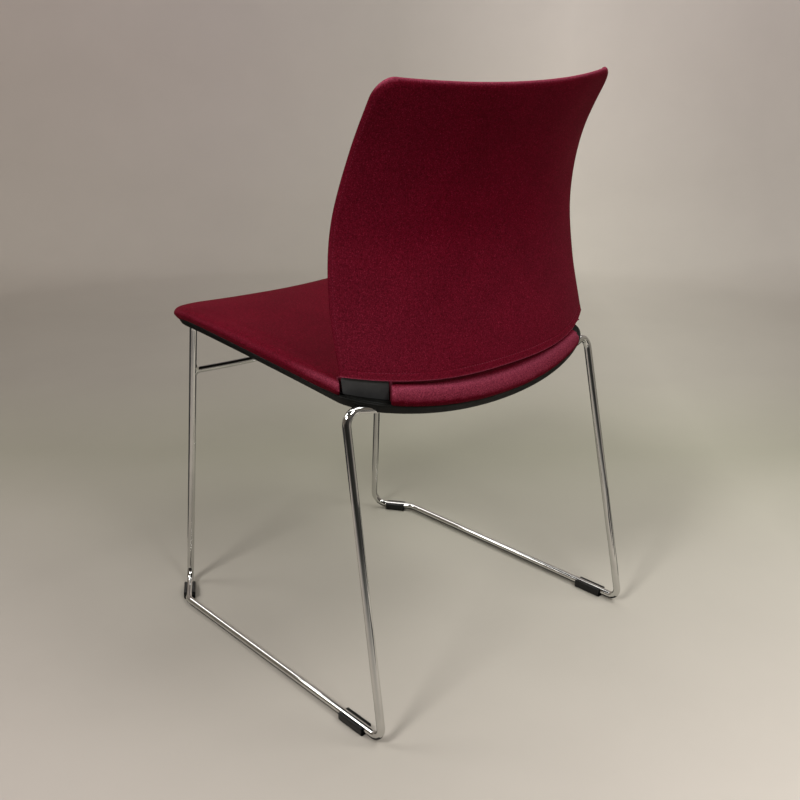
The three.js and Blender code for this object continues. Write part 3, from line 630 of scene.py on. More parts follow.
def side_rod_knots():
    """Knots of the left rod, from the rear end of the seat rail round to the rear cross run."""
    rear_bend = bend_points(REAR_FOOT, REAR_TOP, SHOULDER, REAR_TOP_BEND)
    end, cross = rail_end(rear_bend[3])
    corners = [end, LEG_TOP, FRONT_FOOT, TOE, REAR_FOOT, REAR_TOP, SHOULDER]
    radii = [LEG_TOP_BEND, FRONT_FOOT_BEND, TOE_BEND, REAR_FOOT_BEND, REAR_TOP_BEND]
    bends = [bend_points(corners[k], corners[k + 1], corners[k + 2], radii[k]) for k in range(5)]
    knots = [(end, end, along(end, bends[0][0]))]
    for k, (start, out, into, finish) in enumerate(bends):
        before = knots[-1][0]
        knots.append((start, along(start, before), out))
        after = bends[k + 1][0] if k < 4 else None
        knots.append((finish, into, along(finish, after) if after is not None else cross[1]))
    knots.append((cross[3], cross[2], cross[3]))
    return knots, end


def leg_at(z):
    """Middle of the left front leg at a height."""
    share = (z - ROD_Z) / (LEG_TOP[2] - ROD_Z)
    return Vector(FRONT_FOOT).lerp(Vector(LEG_TOP), share)


def smooth_copy(node, name, angle=35, rounding=0, levels=0):
    """Merged copy of a CAD piece, its edges rounded a little."""
    piece = nodes[node].copy()
    piece.data = nodes[node].data.copy()
    piece.parent = None
    piece.name = name
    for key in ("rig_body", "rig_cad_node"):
        if key in piece:
            del piece[key]
    bpy.context.scene.collection.objects.link(piece)
    tidy(piece, angle)
    if rounding:
        pick(piece)
        bpy.ops.object.mode_set(mode="EDIT")
        bpy.ops.mesh.select_all(action="SELECT")
        bpy.ops.mesh.dissolve_limited(angle_limit=math.radians(2))
        bpy.ops.object.mode_set(mode="OBJECT")
        bevel(piece, rounding, 3, angle)
        tidy(piece, angle)
    if levels:
        modifier = piece.modifiers.new("round", "SUBSURF")
        modifier.levels = modifier.render_levels = levels
        apply_all(piece)
        tidy(piece, angle)
    return piece


knots, rail_stop = side_rod_knots()
rod = rod_curve("chromed_side_rod_left", knots, ROD)
dress(rod, chrome, "chrome_rod", "side_rod_left")
dress(mirror_copy(rod, "chromed_side_rod_right"), chrome, "chrome_rod", "side_rod_right")

bar_leg = leg_at(BAR_Z)
bar_end = Vector((bar_leg.x - ROD / 2 - GAP, bar_leg.y, BAR_Z))
bar_low = Vector((0, bar_end.y, BAR_Z - 2 * BAR_SAG))
bar_far = Vector((-bar_end.x, bar_end.y, BAR_Z))
bar = rod_curve("chromed_cross_bar", [
    (bar_end, bar_end, bar_end.lerp(bar_low, 2 / 3)),
    (bar_far, bar_far.lerp(bar_low, 2 / 3), bar_far),
], BAR, smooth=48)
dress(bar, chrome, "chrome_rod", "front_cross_bar")


WELD_CLEAR = 0.15  # round the bar
WELD_LIFT = 0.35  # off the leg
WELD_TOE = 0.8  # along the bar where the weld ends, and more by a share of its spread
WELD_TOE_SHARE = 1.3
WELD_SIDE = 0.7  # spread at the bar's sides
WELD_ALONG = 2.9  # and up and down the leg more than that
WELD_POWER = 1.5


def fillet_weld(name, joint, run, leg, node):
    """Weld round the bar's end: it runs up and down the leg and follows the leg's round side."""
    joint, run, leg = Vector(joint), Vector(run).normalized(), Vector(leg).normalized()
    leg = (leg - run * leg.dot(run)).normalized()
    side = run.cross(leg)
    inner = BAR / 2 + WELD_CLEAR

    def spot(angle, radius, share, spread):
        """Place round the bar, at the leg where share is 0 and at the toe on the bar at 1."""
        aside = min(radius * abs(math.sin(angle)), ROD / 2)
        fall = ROD / 2 - math.sqrt(ROD * ROD / 4 - aside * aside)
        reach = (WELD_LIFT - fall) * (1 - share) + (WELD_TOE + spread * WELD_TOE_SHARE) * share
        return (joint + leg * radius * math.cos(angle) + side * radius * math.sin(angle)
                + run * reach)

    points, faces = [], []
    count, steps = 40, 7
    for k in range(count):
        angle = 2 * math.pi * k / count
        spread = WELD_SIDE + WELD_ALONG * abs(math.cos(angle)) ** WELD_POWER
        for step in range(steps + 1):
            t = step / steps
            points.append(spot(angle, inner + spread * (1 - math.sin(t * math.pi / 2)), t, spread))
        points.append(spot(angle, inner, 0, spread))
    wide = steps + 2
    for k in range(count):
        n = (k + 1) % count
        for step in range(wide):
            after = (step + 1) % wide
            faces.append((k * wide + step, k * wide + after, n * wide + after, n * wide + step))
    weld = new_mesh(name, place(points), faces)
    tidy(weld, 50)
    return dress(weld, chrome, "chrome_rod", node)


for side, sign in SIDES:
    turn = Vector((sign, 1, 1))
    fillet_weld(f"bar_fillet_weld_{side}", bar_end * turn, (bar_low - bar_end) * turn,
                (Vector(LEG_TOP) - Vector(FRONT_FOOT)) * turn, f"cross_bar_weld_{side}")
    weld = smooth_copy(f"rail_weld_{side}", f"rail_bead_weld_{side}", 60, 0, 2)
    dress(weld, chrome, "chrome_rod", f"rail_weld_{side}")
    for end in ("front", "rear"):
        tab = smooth_copy(f"mount_tab_{end}_{side}", f"steel_tab_{end}_{side}", 35, 0.5)
        dress(tab, steel, "tab_steel", f"mount_tab_{end}_{side}")
        screw = smooth_copy(f"mount_screw_{end}_{side}", f"steel_screw_{end}_{side}", 35, 0.3)
        dress(screw, steel, "screw_steel", f"mount_screw_{end}_{side}")


# Glides
def glide_section():
    """Outline of the clip across the rod: rounded outside, bored for the rod, open on top."""
    bore, half = ROD / 2 + GAP, GLIDE_WIDTH / 2
    lip_z = ROD_Z + bore * math.sin(LIP_ANGLE)
    ends = [(half - GLIDE_CORNER, 0)]
    for t in np.linspace(0.14, 1, 7):
        ends.append((half - GLIDE_CORNER * (1 - t) ** 2, GLIDE_CORNER * t * t))
    top = lip_z - GLIDE_CORNER / 2
    for t in np.linspace(0, 1, 6):
        ends.append((half - GLIDE_CORNER / 2 * t * t, top + GLIDE_CORNER / 2 * (1 - (1 - t) ** 2)))
    low = math.pi / 2 + LIP_ANGLE
    for t in np.linspace(0, 1, 13)[:-1]:
        angle = LIP_ANGLE - low * t
        ends.append((bore * math.cos(angle), ROD_Z + bore * math.sin(angle)))
    left = [(-x, z) for x, z in reversed(ends)]
    return ends + [(0, ROD_Z - bore)] + left


def glide(name, start, end, set_back, length, node):
    """The section as a filled circle primitive, extruded along the runner and bevelled."""
    start, end = Vector(start), Vector(end)
    line = (end - start).normalized()
    across = Vector((0, 0, 1)).cross(line)
    section = glide_section()
    pick_none()
    bpy.ops.mesh.primitive_circle_add(vertices=len(section), fill_type="NGON")
    clip = bpy.context.object
    clip.name = name
    middle = start + line * set_back
    for vertex, (x, z) in zip(clip.data.vertices, section):
        spot = middle + across * x - line * length / 2
        spot.z = z
        vertex.co = place(spot)[0]
    bpy.ops.object.mode_set(mode="EDIT")
    bpy.ops.mesh.select_all(action="SELECT")
    bpy.ops.mesh.extrude_region_move(
        TRANSFORM_OT_translate={"value": tuple(line * length * MM)})
    bpy.ops.object.mode_set(mode="OBJECT")
    tidy(clip, 50)
    bevel(clip, GLIDE_EASE, 4, 60)
    tidy(clip, 40)
    return dress(clip, glide_plastic, "glide_plastic", node)


for start, set_back, length, end in ((FRONT_FOOT, GLIDE_FRONT_SET, GLIDE_FRONT_LENGTH, "front"),
                                     (REAR_FOOT, GLIDE_REAR_SET, GLIDE_REAR_LENGTH, "rear")):
    clip = glide(f"clip_glide_{end}_left", start, TOE, set_back, length, f"glide_{end}_left")
    twin = mirror_copy(clip, f"clip_glide_{end}_right")
    dress(twin, glide_plastic, "glide_plastic", f"glide_{end}_right")
    twin["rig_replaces"] = [f"glide_{end}_right"]  # without the left one, copied along


# Seat
def seat_z(x, y):
    """Height of the skirt's lower edge, carried across the whole seat."""
    run, across = y / SEAT_SPAN_Y, x / SEAT_SPAN_X
    front = np.maximum((WATERFALL_Y - y) / (WATERFALL_Y - SEAT_FRONT_Y), 0)
    return (SEAT_Z - SEAT_FALL * run - SEAT_BOW * run ** 2
            + SIDE_RISE * across ** 2 - WATERFALL * front ** 3)


def skirt_drop(y):
    """By how much the skirt is lower at the front and along the sides than at the rear."""
    return (SKIRT - SKIRT_SIDE) * np.clip((SKIRT_REAR_Y - y) / SKIRT_BLEND, 0, 1)


def pad_thinning(x, y):
    """By how much the pad is thinner towards its edges, less the lift of its rear roll."""
    end = np.where(y < 0, PAD_FRONT_DROP * (y / SEAT_FRONT_Y) ** 2,
                   PAD_REAR_DROP * (y / SEAT_REAR_Y) ** 2)
    raised = PAD_REAR_LIFT * np.clip(y / SEAT_REAR_Y, 0, 1) ** PAD_REAR_LIFT_BEND
    corner = PAD_CORNER_DROP * (x / SEAT_SPAN_X) ** 2 * np.clip(y / SEAT_FRONT_Y, 0, 1) ** 2
    return np.hypot(PAD_SIDE_DROP * (x / SEAT_SPAN_X) ** 2, end) + corner - raised


def corner_drape(x, y):
    """How far the felt hangs down over the skirt round the seat's front corners."""
    return (PAD_DRAPE * np.clip((np.abs(x) - DRAPE_X) / DRAPE_BLEND_X, 0, 1)
            * np.clip((DRAPE_Y - y) / DRAPE_BLEND_Y, 0, 1))


def quad(a, b, c, count=80):
    """Places along the bend from a to c that is pulled towards b."""
    t = np.linspace(0, 1, count)[:, None]
    a, b, c = (np.asarray(p, float) for p in (a, b, c))
    return a * (1 - t) ** 2 + b * 2 * t * (1 - t) + c * t * t


def seat_ring(count):
    """Even points of the seat's outline, from the middle of the front round the left side."""
    half = np.vstack([
        quad((0, SEAT_FRONT_Y), (CORNER_FRONT[0] / 2, SEAT_FRONT_Y), CORNER_FRONT),
        quad(CORNER_FRONT, CORNER_TIP, CORNER_SIDE),
        quad(CORNER_SIDE, SIDE_BELLY, SIDE_REAR),
        quad(SIDE_REAR, REAR_TIP, REAR_CORNER),
        quad(REAR_CORNER, (REAR_PULL_X, SEAT_REAR_Y), (0, SEAT_REAR_Y)),
    ])
    steps = np.r_[0, np.cumsum(np.hypot(*np.diff(half, axis=0).T))]
    even = np.linspace(0, steps[-1], count // 2 + 1)
    half = np.c_[np.interp(even, steps, half[:, 0]), np.interp(even, steps, half[:, 1])]
    other = half[1:-1][::-1] * (-1, 1)
    return np.vstack([half, other])


ROW = {"share": 1, "inset": 0, "lift": 0, "bulge": 0, "flank": 0, "rim": 0, "broad": 0, "drape": 0}


def rows_of(*rows):
    """Rows of a section as an array, with ROW's values where a row gives none."""
    return np.array([[{**ROW, **row}[key] for key in ROW] for row in rows], float)


def through(p0, p1, p2, p3, t):
    """Place between the middle two of four points, on a smooth curve through all of them."""
    a, b = 0.5 * (p2 - p0), 0.5 * (p3 - p1)
    return p1 + a * t + (3 * (p2 - p1) - 2 * a - b) * t ** 2 + (2 * (p1 - p2) + a + b) * t ** 3


def smooth_rows(rows, steps):
    """Rows with a smooth curve through them."""
    ends = np.vstack([2 * rows[0] - rows[1], rows, 2 * rows[-1] - rows[-2]])
    out = [rows[0]]
    for k in range(len(rows) - 1):
        out += [through(*ends[k:k + 4], step / steps) for step in range(1, steps + 1)]
    out = np.array(out)
    out[:, 0] = np.clip(out[:, 0], 0, 1)
    return out


def dish(name, ring, rows):
    """A ball primitive whose rings are drawn out to rows of the seat's outline, pole to pole."""
    count, last = len(ring), len(rows) - 1
    pick_none()
    bpy.ops.mesh.primitive_uv_sphere_add(segments=count, ring_count=last, radius=1)
    piece = bpy.context.object
    piece.name = name
    spots = np.array([v.co for v in piece.data.vertices])
    row = np.rint(np.arccos(np.clip(spots[:, 2], -1, 1)) / math.pi * last).astype(int)
    turn = np.arctan2(spots[:, 1], spots[:, 0]) + math.pi / 2
    column = np.rint(turn / (2 * math.pi) * count).astype(int) % count
    share, inset, lift, bulge, flank, rim, broad, drape = rows[row].T
    edge = ring[column]
    reach = np.hypot(*edge.T)
    front = np.maximum(-edge[:, 1] / reach, 0)
    rear = np.maximum(edge[:, 1] / reach, 0)
    out = bulge * (1 + (BULGE_FRONT / BULGE - 1) * front ** 2 + (BULGE_REAR / BULGE - 1) * rear)
    inset = inset + PAD_BROAD * broad * np.clip(1 - 2 * rear, 0, 1)
    scale = share * (1 + (out - inset) / reach)
    x, y = edge[:, 0] * scale, edge[:, 1] * scale
    z = seat_z(x, y) + lift - flank * pad_thinning(x, y) - rim * skirt_drop(y)
    z -= drape * corner_drape(*edge.T)
    for vertex, spot in zip(piece.data.vertices, place(np.c_[x, y, z])):
        vertex.co = spot
    piece.data.update()
    return piece


PAN_SHARES = (0, 0.12, 0.24, 0.36, 0.48, 0.6, 0.7, 0.8, 0.88, 0.94)  # of the way out to the edge
SKIRT_SHARES = (0.25, 0.5, 0.75)  # down the skirt's outer side
FACE_SHARES = ((0, 1), (0.35, 0.88), (0.65, 0.58), (0.84, 0.3))  # way out and crown
# Down the pad's side: inset, drop, bulge, thinning, breadth of the roll and drape at the corners
SIDE_SHARES = (
    (1.6, -0.04, 0.2, 1, 1, 0),
    (0.75, 0.03, 0.45, 0.95, 0.8, 0),
    (0.30, 0.16, 0.7, 0.85, 0.45, 0),
    (0.10, 0.36, 0.85, 0.6, 0.2, 0.15),
    (0, 0.60, 1, 0.35, 0.05, 0.45),
    (-0.05, 0.85, 1.08, 0.15, 0, 0.85),
    (0.09, 0.99, 0.72, 0.05, 0, 1),
)


def pan_rows(lift):
    """Rows from the middle of the seat outward, all at one height above its surface."""
    return [{"share": share, "lift": lift} for share in PAN_SHARES]


def eased(inset, lift, shares, **more):
    """Rows round a corner of the section, set off from it by shares of the skirt's easing."""
    return [{"inset": inset + SKIRT_EASE * aside, "lift": lift + SKIRT_EASE * up, **more}
            for aside, up in shares]


def skirt_edge():
    """The skirt's upper edge, a quarter bend from its top to its outer side."""
    turn = np.radians(np.linspace(90, 0, 6))
    return eased(SKIRT_EASE, SKIRT - SKIRT_EASE, [(-math.cos(a), math.sin(a)) for a in turn], rim=1)


def shell_rows():
    under = PAN_TOP - WALL
    foot = SKIRT_DRAFT + SKIRT_WALL
    return rows_of(
        *pan_rows(PAN_TOP),
        *eased(LEDGE, PAN_TOP, [(2, 0), (0.6, -0.3)]),
        *eased(LEDGE, SKIRT, [(0.3, 0.5)], rim=0.8),
        *eased(LEDGE, SKIRT, [(-0.4, 0)], rim=1),
        *skirt_edge(),
        *[{"inset": SKIRT_DRAFT * t, "lift": (SKIRT - SKIRT_EASE) * (1 - t), "rim": 1 - t}
          for t in SKIRT_SHARES],
        *eased(SKIRT_DRAFT, 0, [(-0.1, 0.8), (0.3, 0.15), (1, 0)]),
        *eased(foot, 0, [(-0.5, 0), (0, 0.5)]),
        {"inset": foot, "lift": under - SKIRT_WALL},
        {"inset": foot + 0.3 * SKIRT_WALL, "lift": under - 0.3 * SKIRT_WALL},
        {"inset": foot + SKIRT_WALL, "lift": under},
        *pan_rows(under)[::-1],
    )


def tab_places(end):
    """Middle of each steel tab, left side, and the tilt of the seat rail."""
    tilt = math.atan2(LEG_TOP[2] - end.z, end.y - LEG_TOP[1])
    x = LEG_TOP[0] - ROD / 2 - GAP - TAB_IN
    for y in TABS_Y:
        share = (y - LEG_TOP[1]) / (end.y - LEG_TOP[1])
        yield Vector((x, y, LEG_TOP[2] + (end.z - LEG_TOP[2]) * share - TAB_DROP)), tilt


SHELL_POINTS = 264  # round the shell's edge, and round the rooms that cut to its shape
ROOM_POINTS = 120


def make_ribs():
    """A grid of ribs, cut to the height of the pan's underside."""
    walls = [((k * RIB_PITCH_X - RIB / 2, RIB_FRONT_Y), (k * RIB_PITCH_X + RIB / 2, RIB_REAR_Y))
             for k in range(-2, 3)]
    for k in range(4):
        y = RIB_FRONT_Y + k * RIB_PITCH_Y
        walls.append(((-RIB_REACH_X, y), (RIB_REACH_X, y + RIB)))
    ribs, *others = [box_mesh("rib", (*low, CUT_LOW), (*high, CUT_HIGH)) for low, high in walls]
    for rib in others:
        combine(ribs, rib, "UNION")
    low, high = PAN_TOP - WALL - RIB_DEPTH, PAN_TOP - WALL / 2
    band = rows_of(*pan_rows(high), *pan_rows(low)[::-1])
    combine(ribs, dish("band", seat_ring(ROOM_POINTS), band), "INTERSECT")
    return ribs


def add_bosses(shell):
    """Bosses below the pan, each bored for the screw through its tab."""
    solid = rows_of(*pan_rows(PAN_TOP - WALL / 2), *pan_rows(-BOSS_REACH)[::-1])
    for spot, tilt in tab_places(rail_stop):
        up = Vector((0, math.sin(tilt), math.cos(tilt)))
        tip = seat_z(spot.x, spot.y) + PAN_TOP - WALL / 2 - spot.z + GAP
        for _, side in SIDES:
            foot = Vector((spot.x * side, spot.y, spot.z))
            boss = cylinder_between("boss", foot + up * BOSS_START, foot + up * BOSS_END, BOSS / 2)
            combine(boss, dish("pan", seat_ring(ROOM_POINTS), solid), "INTERSECT")
            combine(shell, boss, "UNION")
            bore = cylinder_between("bore", foot, foot + up * tip, SCREW_HOLE / 2)
            combine(shell, bore, "DIFFERENCE")


def cut_rod_grooves(shell):
    """Grooves that seat on the rods, and reliefs for the welds at the rails' ends."""
    groove = rod_curve("groove", knots, ROD + 2 * ROD_CLEAR, 8, 16)
    combine(shell, mirror_copy(groove, "groove_right"), "DIFFERENCE")
    combine(shell, groove, "DIFFERENCE")
    rail = (Vector(LEG_TOP) - rail_stop).normalized() * RAIL_RELIEF_REACH
    for _, side in SIDES:
        turn = Vector((side, 1, 1))
        ends = (rail_stop - rail) * turn, (rail_stop + rail) * turn
        combine(shell, cylinder_between("relief", *ends, ROD / 2 + RAIL_RELIEF), "DIFFERENCE")


def make_seat_shell():
    """The pan with its skirt and ledge, ribbed and bossed below and grooved for the rods."""
    shell = dish("moulded_seat_shell", seat_ring(SHELL_POINTS), shell_rows())
    combine(shell, make_ribs(), "UNION")
    add_bosses(shell)
    cut_rod_grooves(shell)
    tidy(shell, 32)
    return dress(shell, shell_plastic, "shell_plastic", "seat_shell")


make_seat_shell()
board = smooth_copy("seat_board", "seat_plywood_board", 30)
dress(board, plywood, "seat_plywood", "seat_board")


# Back skin
def back_station(height):
    """Half width and depth of the rear skin at a height from 0 at the hem to 1 at the top."""
    line = np.array(BACK_LINE, float)
    line = np.vstack([2 * line[0] - line[1], line, 2 * line[-1] - line[-2]])
    at = np.clip(height, 0, 1) * (len(BACK_LINE) - 1)
    k = np.minimum(at.astype(int), len(BACK_LINE) - 2)
    t = (at - k)[..., None]
    return through(*(line[k + j] for j in range(4)), t)


def back_skin(side, height):
    """Place on the rear skin, side from -1 to 1 and height from 0 at the hem to 1 at the top."""
    side, height = np.broadcast_arrays(np.asarray(side, float), np.asarray(height, float))
    station = back_station(height)
    turn = np.abs(side) ** (HEM_LATE + (TOP_LATE - HEM_LATE) * height)
    wrap = HEM_WRAP + (TOP_WRAP - HEM_WRAP) * height
    low, high = HEM_Z + HEM_RISE * turn, TOP_Z + TOP_RISE * turn
    return np.stack([station[..., 0] * side, station[..., 1] - wrap * turn,
                     low + (high - low) * height], -1)


def back_inward(side, height, step=0.01):
    """Direction from the rear skin into the back."""
    across = back_skin(side + step, height) - back_skin(side - step, height)
    at = np.clip(height, step, 1 - step)
    up = back_skin(side, at + step) - back_skin(side, at - step)
    normal = np.cross(across, up)
    return normal / np.linalg.norm(normal, axis=-1, keepdims=True)


def back_row(v, inset):
    """Height and edge inset of a row, the last rows going round the top corners."""
    tall = TOP_Z - HEM_Z
    corner = BACK_CORNER / tall
    straight = BACK_STRAIGHT_SHARE
    angle = np.clip((v - straight) / (1 - straight), 0, 1) * math.pi / 2
    height = np.where(v <= straight, (1 - corner) * v / straight,
                      1 - corner * (1 - np.sin(angle)) - inset / tall * np.sin(angle))
    edge = inset + (BACK_CORNER - inset) * (1 - np.cos(angle))
    return height, edge


def back_depth(side, v):
    """From the rear skin to the front one, slimmer towards the edges."""
    swell = (1 - np.abs(side) ** 5) * (1 - np.abs(2 * v - 1) ** 8)
    return BACK_EDGE + (BACK_THICK - BACK_EDGE) * swell


def grid_box(columns, rows, layers, open_below=False):
    """Places and faces of a box's surface on a grid of columns, rows and layers."""
    index, spots, faces = {}, [], []

    def at(i, j, k):
        if (i, j, k) not in index:
            index[i, j, k] = len(spots)
            spots.append((columns[i], rows[j], layers[k]))
        return index[i, j, k]

    def face(*corners):
        faces.append([at(*corner) for corner in corners][::-1])

    m, n, q = len(columns) - 1, len(rows) - 1, len(layers) - 1
    for j in range(n):
        for i in range(m):
            face((i, j, 0), (i, j + 1, 0), (i + 1, j + 1, 0), (i + 1, j, 0))
            face((i, j, q), (i + 1, j, q), (i + 1, j + 1, q), (i, j + 1, q))
        for k in range(q):
            face((0, j, k), (0, j, k + 1), (0, j + 1, k + 1), (0, j + 1, k))
            face((m, j, k), (m, j + 1, k), (m, j + 1, k + 1), (m, j, k + 1))
    for i in range(m):
        for k in range(q):
            face((i, n, k), (i, n, k + 1), (i + 1, n, k + 1), (i + 1, n, k))
            if not open_below:
                face((i, 0, k), (i + 1, 0, k), (i + 1, 0, k + 1), (i, 0, k + 1))
    return np.array(spots), faces


def slab_places(spots, inset, roll, near, far):
    """Places of a slab of the back between two depths below the rear skin, its edge rounded."""
    across, v, layer = spots.T
    rounding = roll * (1 - np.sqrt(np.clip(1 - (2 * layer - 1) ** 2, 0, 1)))
    height, edge = back_row(v, inset + rounding)
    half = back_station(height)[:, 0]
    side = across * (1 - edge / half)
    first, last = near(side, v), far(side, v)
    deep = (first + (last - first) * layer)[:, None]
    places = back_skin(side, height) + back_inward(side, height) * deep
    return places, side, height


def fixed(depth):
    """The same depth all over, for slab_places."""
    return lambda side, v: np.full(np.shape(side), float(depth))


# Uprights and panel
UPRIGHT_HEIGHT_SHARES = (0.07, 0.045, 0.02)  # of the upright's rows inside the sleeve
UPRIGHT_ROWS = 9  # and the number of those below


def foot_line(side):
    """Hem of the skin above an upright, the way outward there and the upright's foot."""
    hem = back_skin(np.array([side]), np.array([0.0]))[0]
    radial = np.array([-hem[0], -hem[1], 0])
    radial /= np.linalg.norm(radial)
    return hem, radial, hem + radial * FOOT_SET


def upright_section(side):
    """Outer and inner points of an upright, from inside the sleeve down to its foot."""
    under = COVER + GAP
    rows = []
    for height in UPRIGHT_HEIGHT_SHARES:
        skin = back_skin(np.array([side]), np.array([height]))[0]
        inward = back_inward(np.array([side]), np.array([height]))[0]
        rows.append((skin + inward * (under + GAP), skin + inward * (under + PANEL - GAP)))
    hem, radial, foot = foot_line(side)
    base = seat_z(foot[0], foot[1]) + PAN_TOP + GAP
    for share in np.linspace(0.2, 1, UPRIGHT_ROWS):
        thick = PANEL + (UPRIGHT_FOOT - PANEL) * max(share - 0.5, 0) * 2
        spot = (hem + radial * (under + GAP)) * (1 - share) + foot * share
        inner = spot + radial * thick
        rise = (hem[2] - base) * (1 - share)
        for point in (spot, inner):
            point[2] = seat_z(point[0], point[1]) + PAN_TOP + GAP + rise
        rows.append((spot, inner))
    return rows


def make_upright():
    """The left upright, from inside the sleeve down to its foot on the seat shell."""
    inside = len(UPRIGHT_HEIGHT_SHARES)
    rows = np.arange(inside + UPRIGHT_ROWS)[::-1]
    spots, faces = grid_box(np.linspace(UPRIGHT_IN, UPRIGHT_OUT, 22), rows, np.array([0, 1]))
    sections = {}
    places = []
    for side, row, layer in spots:
        kept = min(side, UPRIGHT_TAPER) if row < inside else side
        if kept not in sections:
            sections[kept] = upright_section(kept)
        places.append(sections[kept][int(row)][int(layer)])
    leg = new_mesh("leg", place(places), faces)
    tidy(leg, 40)
    return leg


def make_back_shell():
    """The panel inside the sleeve and the two uprights below it, in one piece."""
    leg = make_upright()
    grid, faces = grid_box(np.linspace(-1, 1, 61), np.linspace(0, 1, 50), np.array([0, 1]))
    inset = 2 * COVER + GAP
    places, _, _ = slab_places(grid, inset, 0, fixed(COVER + GAP), fixed(COVER + PANEL))
    panel = new_mesh("moulded_back_shell", place(places), faces)
    tidy(panel, 40)
    combine(panel, mirror_copy(leg, "leg_right"), "UNION")
    combine(panel, leg, "UNION")
    tidy(panel, 40)
    bevel(panel, SHELL_EASE, 3, 50)
    tidy(panel, 40)
    return dress(panel, upright_plastic, "shell_plastic", "back_shell")


make_back_shell()


# Back sleeve
SEAM_COLUMNS = (0, 1, 2, 2.8, 3.4, 3.9, 4.3, 4.6, 4.9, 5.3, 5.8, 6.6, 8, 10, 13, 18, 24)  # from the edge
HEM_ROWS = (0, 0.5, 1, 1.6, 2.4, 4, 6, 7.6, 8.4, 8.9, 9.3, 9.8, 10.4, 11.2, 13, 16, 20)  # from the hem


def sleeve_columns():
    """Columns from -1 to 1, close together at the side seams."""
    fine = [1 - away / SLEEVE_HALF for away in SEAM_COLUMNS]
    plain = list(np.linspace(0, fine[-1], 38)[:-1])
    half = sorted(plain + fine)
    return np.array([-c for c in reversed(half[1:])] + half)


def sleeve_rows():
    """Rows from 0 to 1, close together at the hem."""
    tall = TOP_Z - HEM_Z
    straight = BACK_STRAIGHT_SHARE
    unit = straight / (1 - BACK_CORNER / tall) / tall
    low = [up * unit for up in HEM_ROWS]
    plain = np.linspace(low[-1], straight, 58)[1:]
    return np.array(low + list(plain) + list(np.linspace(straight, 1, 24)[1:]))


def make_back_sleeve():
    """The felt cover: seams drawn in at both sides and a turned and stitched hem."""
    layers = (1 - np.cos(np.linspace(0, math.pi, 13))) / 2
    spots, faces = grid_box(sleeve_columns(), sleeve_rows(), layers, open_below=True)
    places, side, height = slab_places(spots, 0, BACK_ROLL, fixed(0), back_depth)
    edge = (1 - np.abs(side)) * back_station(height)[:, 0]
    tall = height * (TOP_Z - HEM_Z)
    inward = back_inward(side, height)
    rear = spots[:, 2] == 0
    front = spots[:, 2] == 1
    seam = SEAM_DEPTH * crease(edge - SEAM_IN, SEAM_WIDTH) * (rear | front)
    fold = HEM_STEP * np.clip(HEM_FOLD - tall, 0, 1) + HEM_ROLL * crease(tall - 0.9, 0.8)
    line = HEM_LINE * crease(tall - HEM_FOLD - HEM_LINE_UP, HEM_LINE_WIDTH)
    soft = SLEEVE_WAVE * np.sin(tall / 23 + 3 * side) * np.sin(side * 9 + tall / 61)
    move = (seam + line - fold + soft) * (1.0 * rear - 1.0 * front)
    places += inward * move[:, None]
    sleeve = new_mesh("felt_back_sleeve", place(places), faces)
    tidy(sleeve, 70)
    wall = sleeve.modifiers.new("felt", "SOLIDIFY")
    wall.thickness = (COVER - SLEEVE_MARGIN) * MM
    wall.offset = -1
    apply_all(sleeve)
    bpy.ops.object.shade_smooth_by_angle(angle=math.radians(70))
    mark_painted_highlight(sleeve, sleeve_painted_highlight)
    return dress(sleeve, felt, "maroon_felt", "back_cover")


def make_back_foam():
    """The foam before the panel, kept well inside the roll of the sleeve's edge."""
    grid, faces = grid_box(np.linspace(-1, 1, 49), np.linspace(0, 1, 42), np.linspace(0, 1, 5))
    inset = BACK_ROLL + COVER + GAP
    under = COVER + PANEL + GAP

    def face(side, v):
        return np.maximum(back_depth(side, v) - COVER - GAP, under + GAP)

    places, _, _ = slab_places(grid, inset, BACK_ROLL / 2, fixed(under), face)
    pad = new_mesh("back_foam_pad", place(places), faces)
    tidy(pad, 60)
    return dress(pad, foam, "cushion_foam", "back_foam")


make_back_sleeve()
make_back_foam()


STITCH_SHARE = 0.35  # of a stitch's thickness that it stands out
SEAM_PITCH = 4.5
SEAM_SINK = 0.9
SEAM_SHARES = (0.045, 0.93)  # heights between which the side seams are stitched
HEM_PITCH = 4.2
HEM_SINK = 0.55
HEM_STITCH_SHARE = 0.9  # of the way round to the edges


def stitches(name, points, normals, length=3.2, thick=0.55):
    """A row of sewn stitches, one modelled and the others laid along the seam."""
    pick_none()
    bpy.ops.mesh.primitive_uv_sphere_add(segments=8, ring_count=6, radius=1)
    model = bpy.context.object
    shape = np.array([v.co for v in model.data.vertices])
    sides = [tuple(p.vertices) for p in model.data.polygons]
    bpy.data.objects.remove(model)
    spots, faces = [], []
    for k in range(len(points) - 1):
        a, b = points[k], points[k + 1]
        run = (b - a) / np.linalg.norm(b - a)
        out = normals[k]
        across = np.cross(run, out)
        middle = (a + b) / 2 + out * thick * STITCH_SHARE
        base = len(spots) * len(shape)
        spots.append(middle + shape[:, :1] * across * thick + shape[:, 1:2] * out * thick
                     + shape[:, 2:] * run * length / 2)
        faces += [tuple(base + i for i in side) for side in sides]
    row = new_mesh(name, place(np.vstack(spots)), faces)
    tidy(row, 60, 0.000001)
    return dress(row, thread, "maroon_felt")


def stitch_places(side, height, sink, pitch):
    """Even places along a line on the rear skin, and the outward normals there."""
    inward = back_inward(side, height)
    places = back_skin(side, height) + inward * sink
    steps = np.r_[0, np.cumsum(np.linalg.norm(np.diff(places, axis=0), axis=1))]
    even = np.searchsorted(steps, np.arange(0, steps[-1], pitch))
    return places[even], -inward[even]


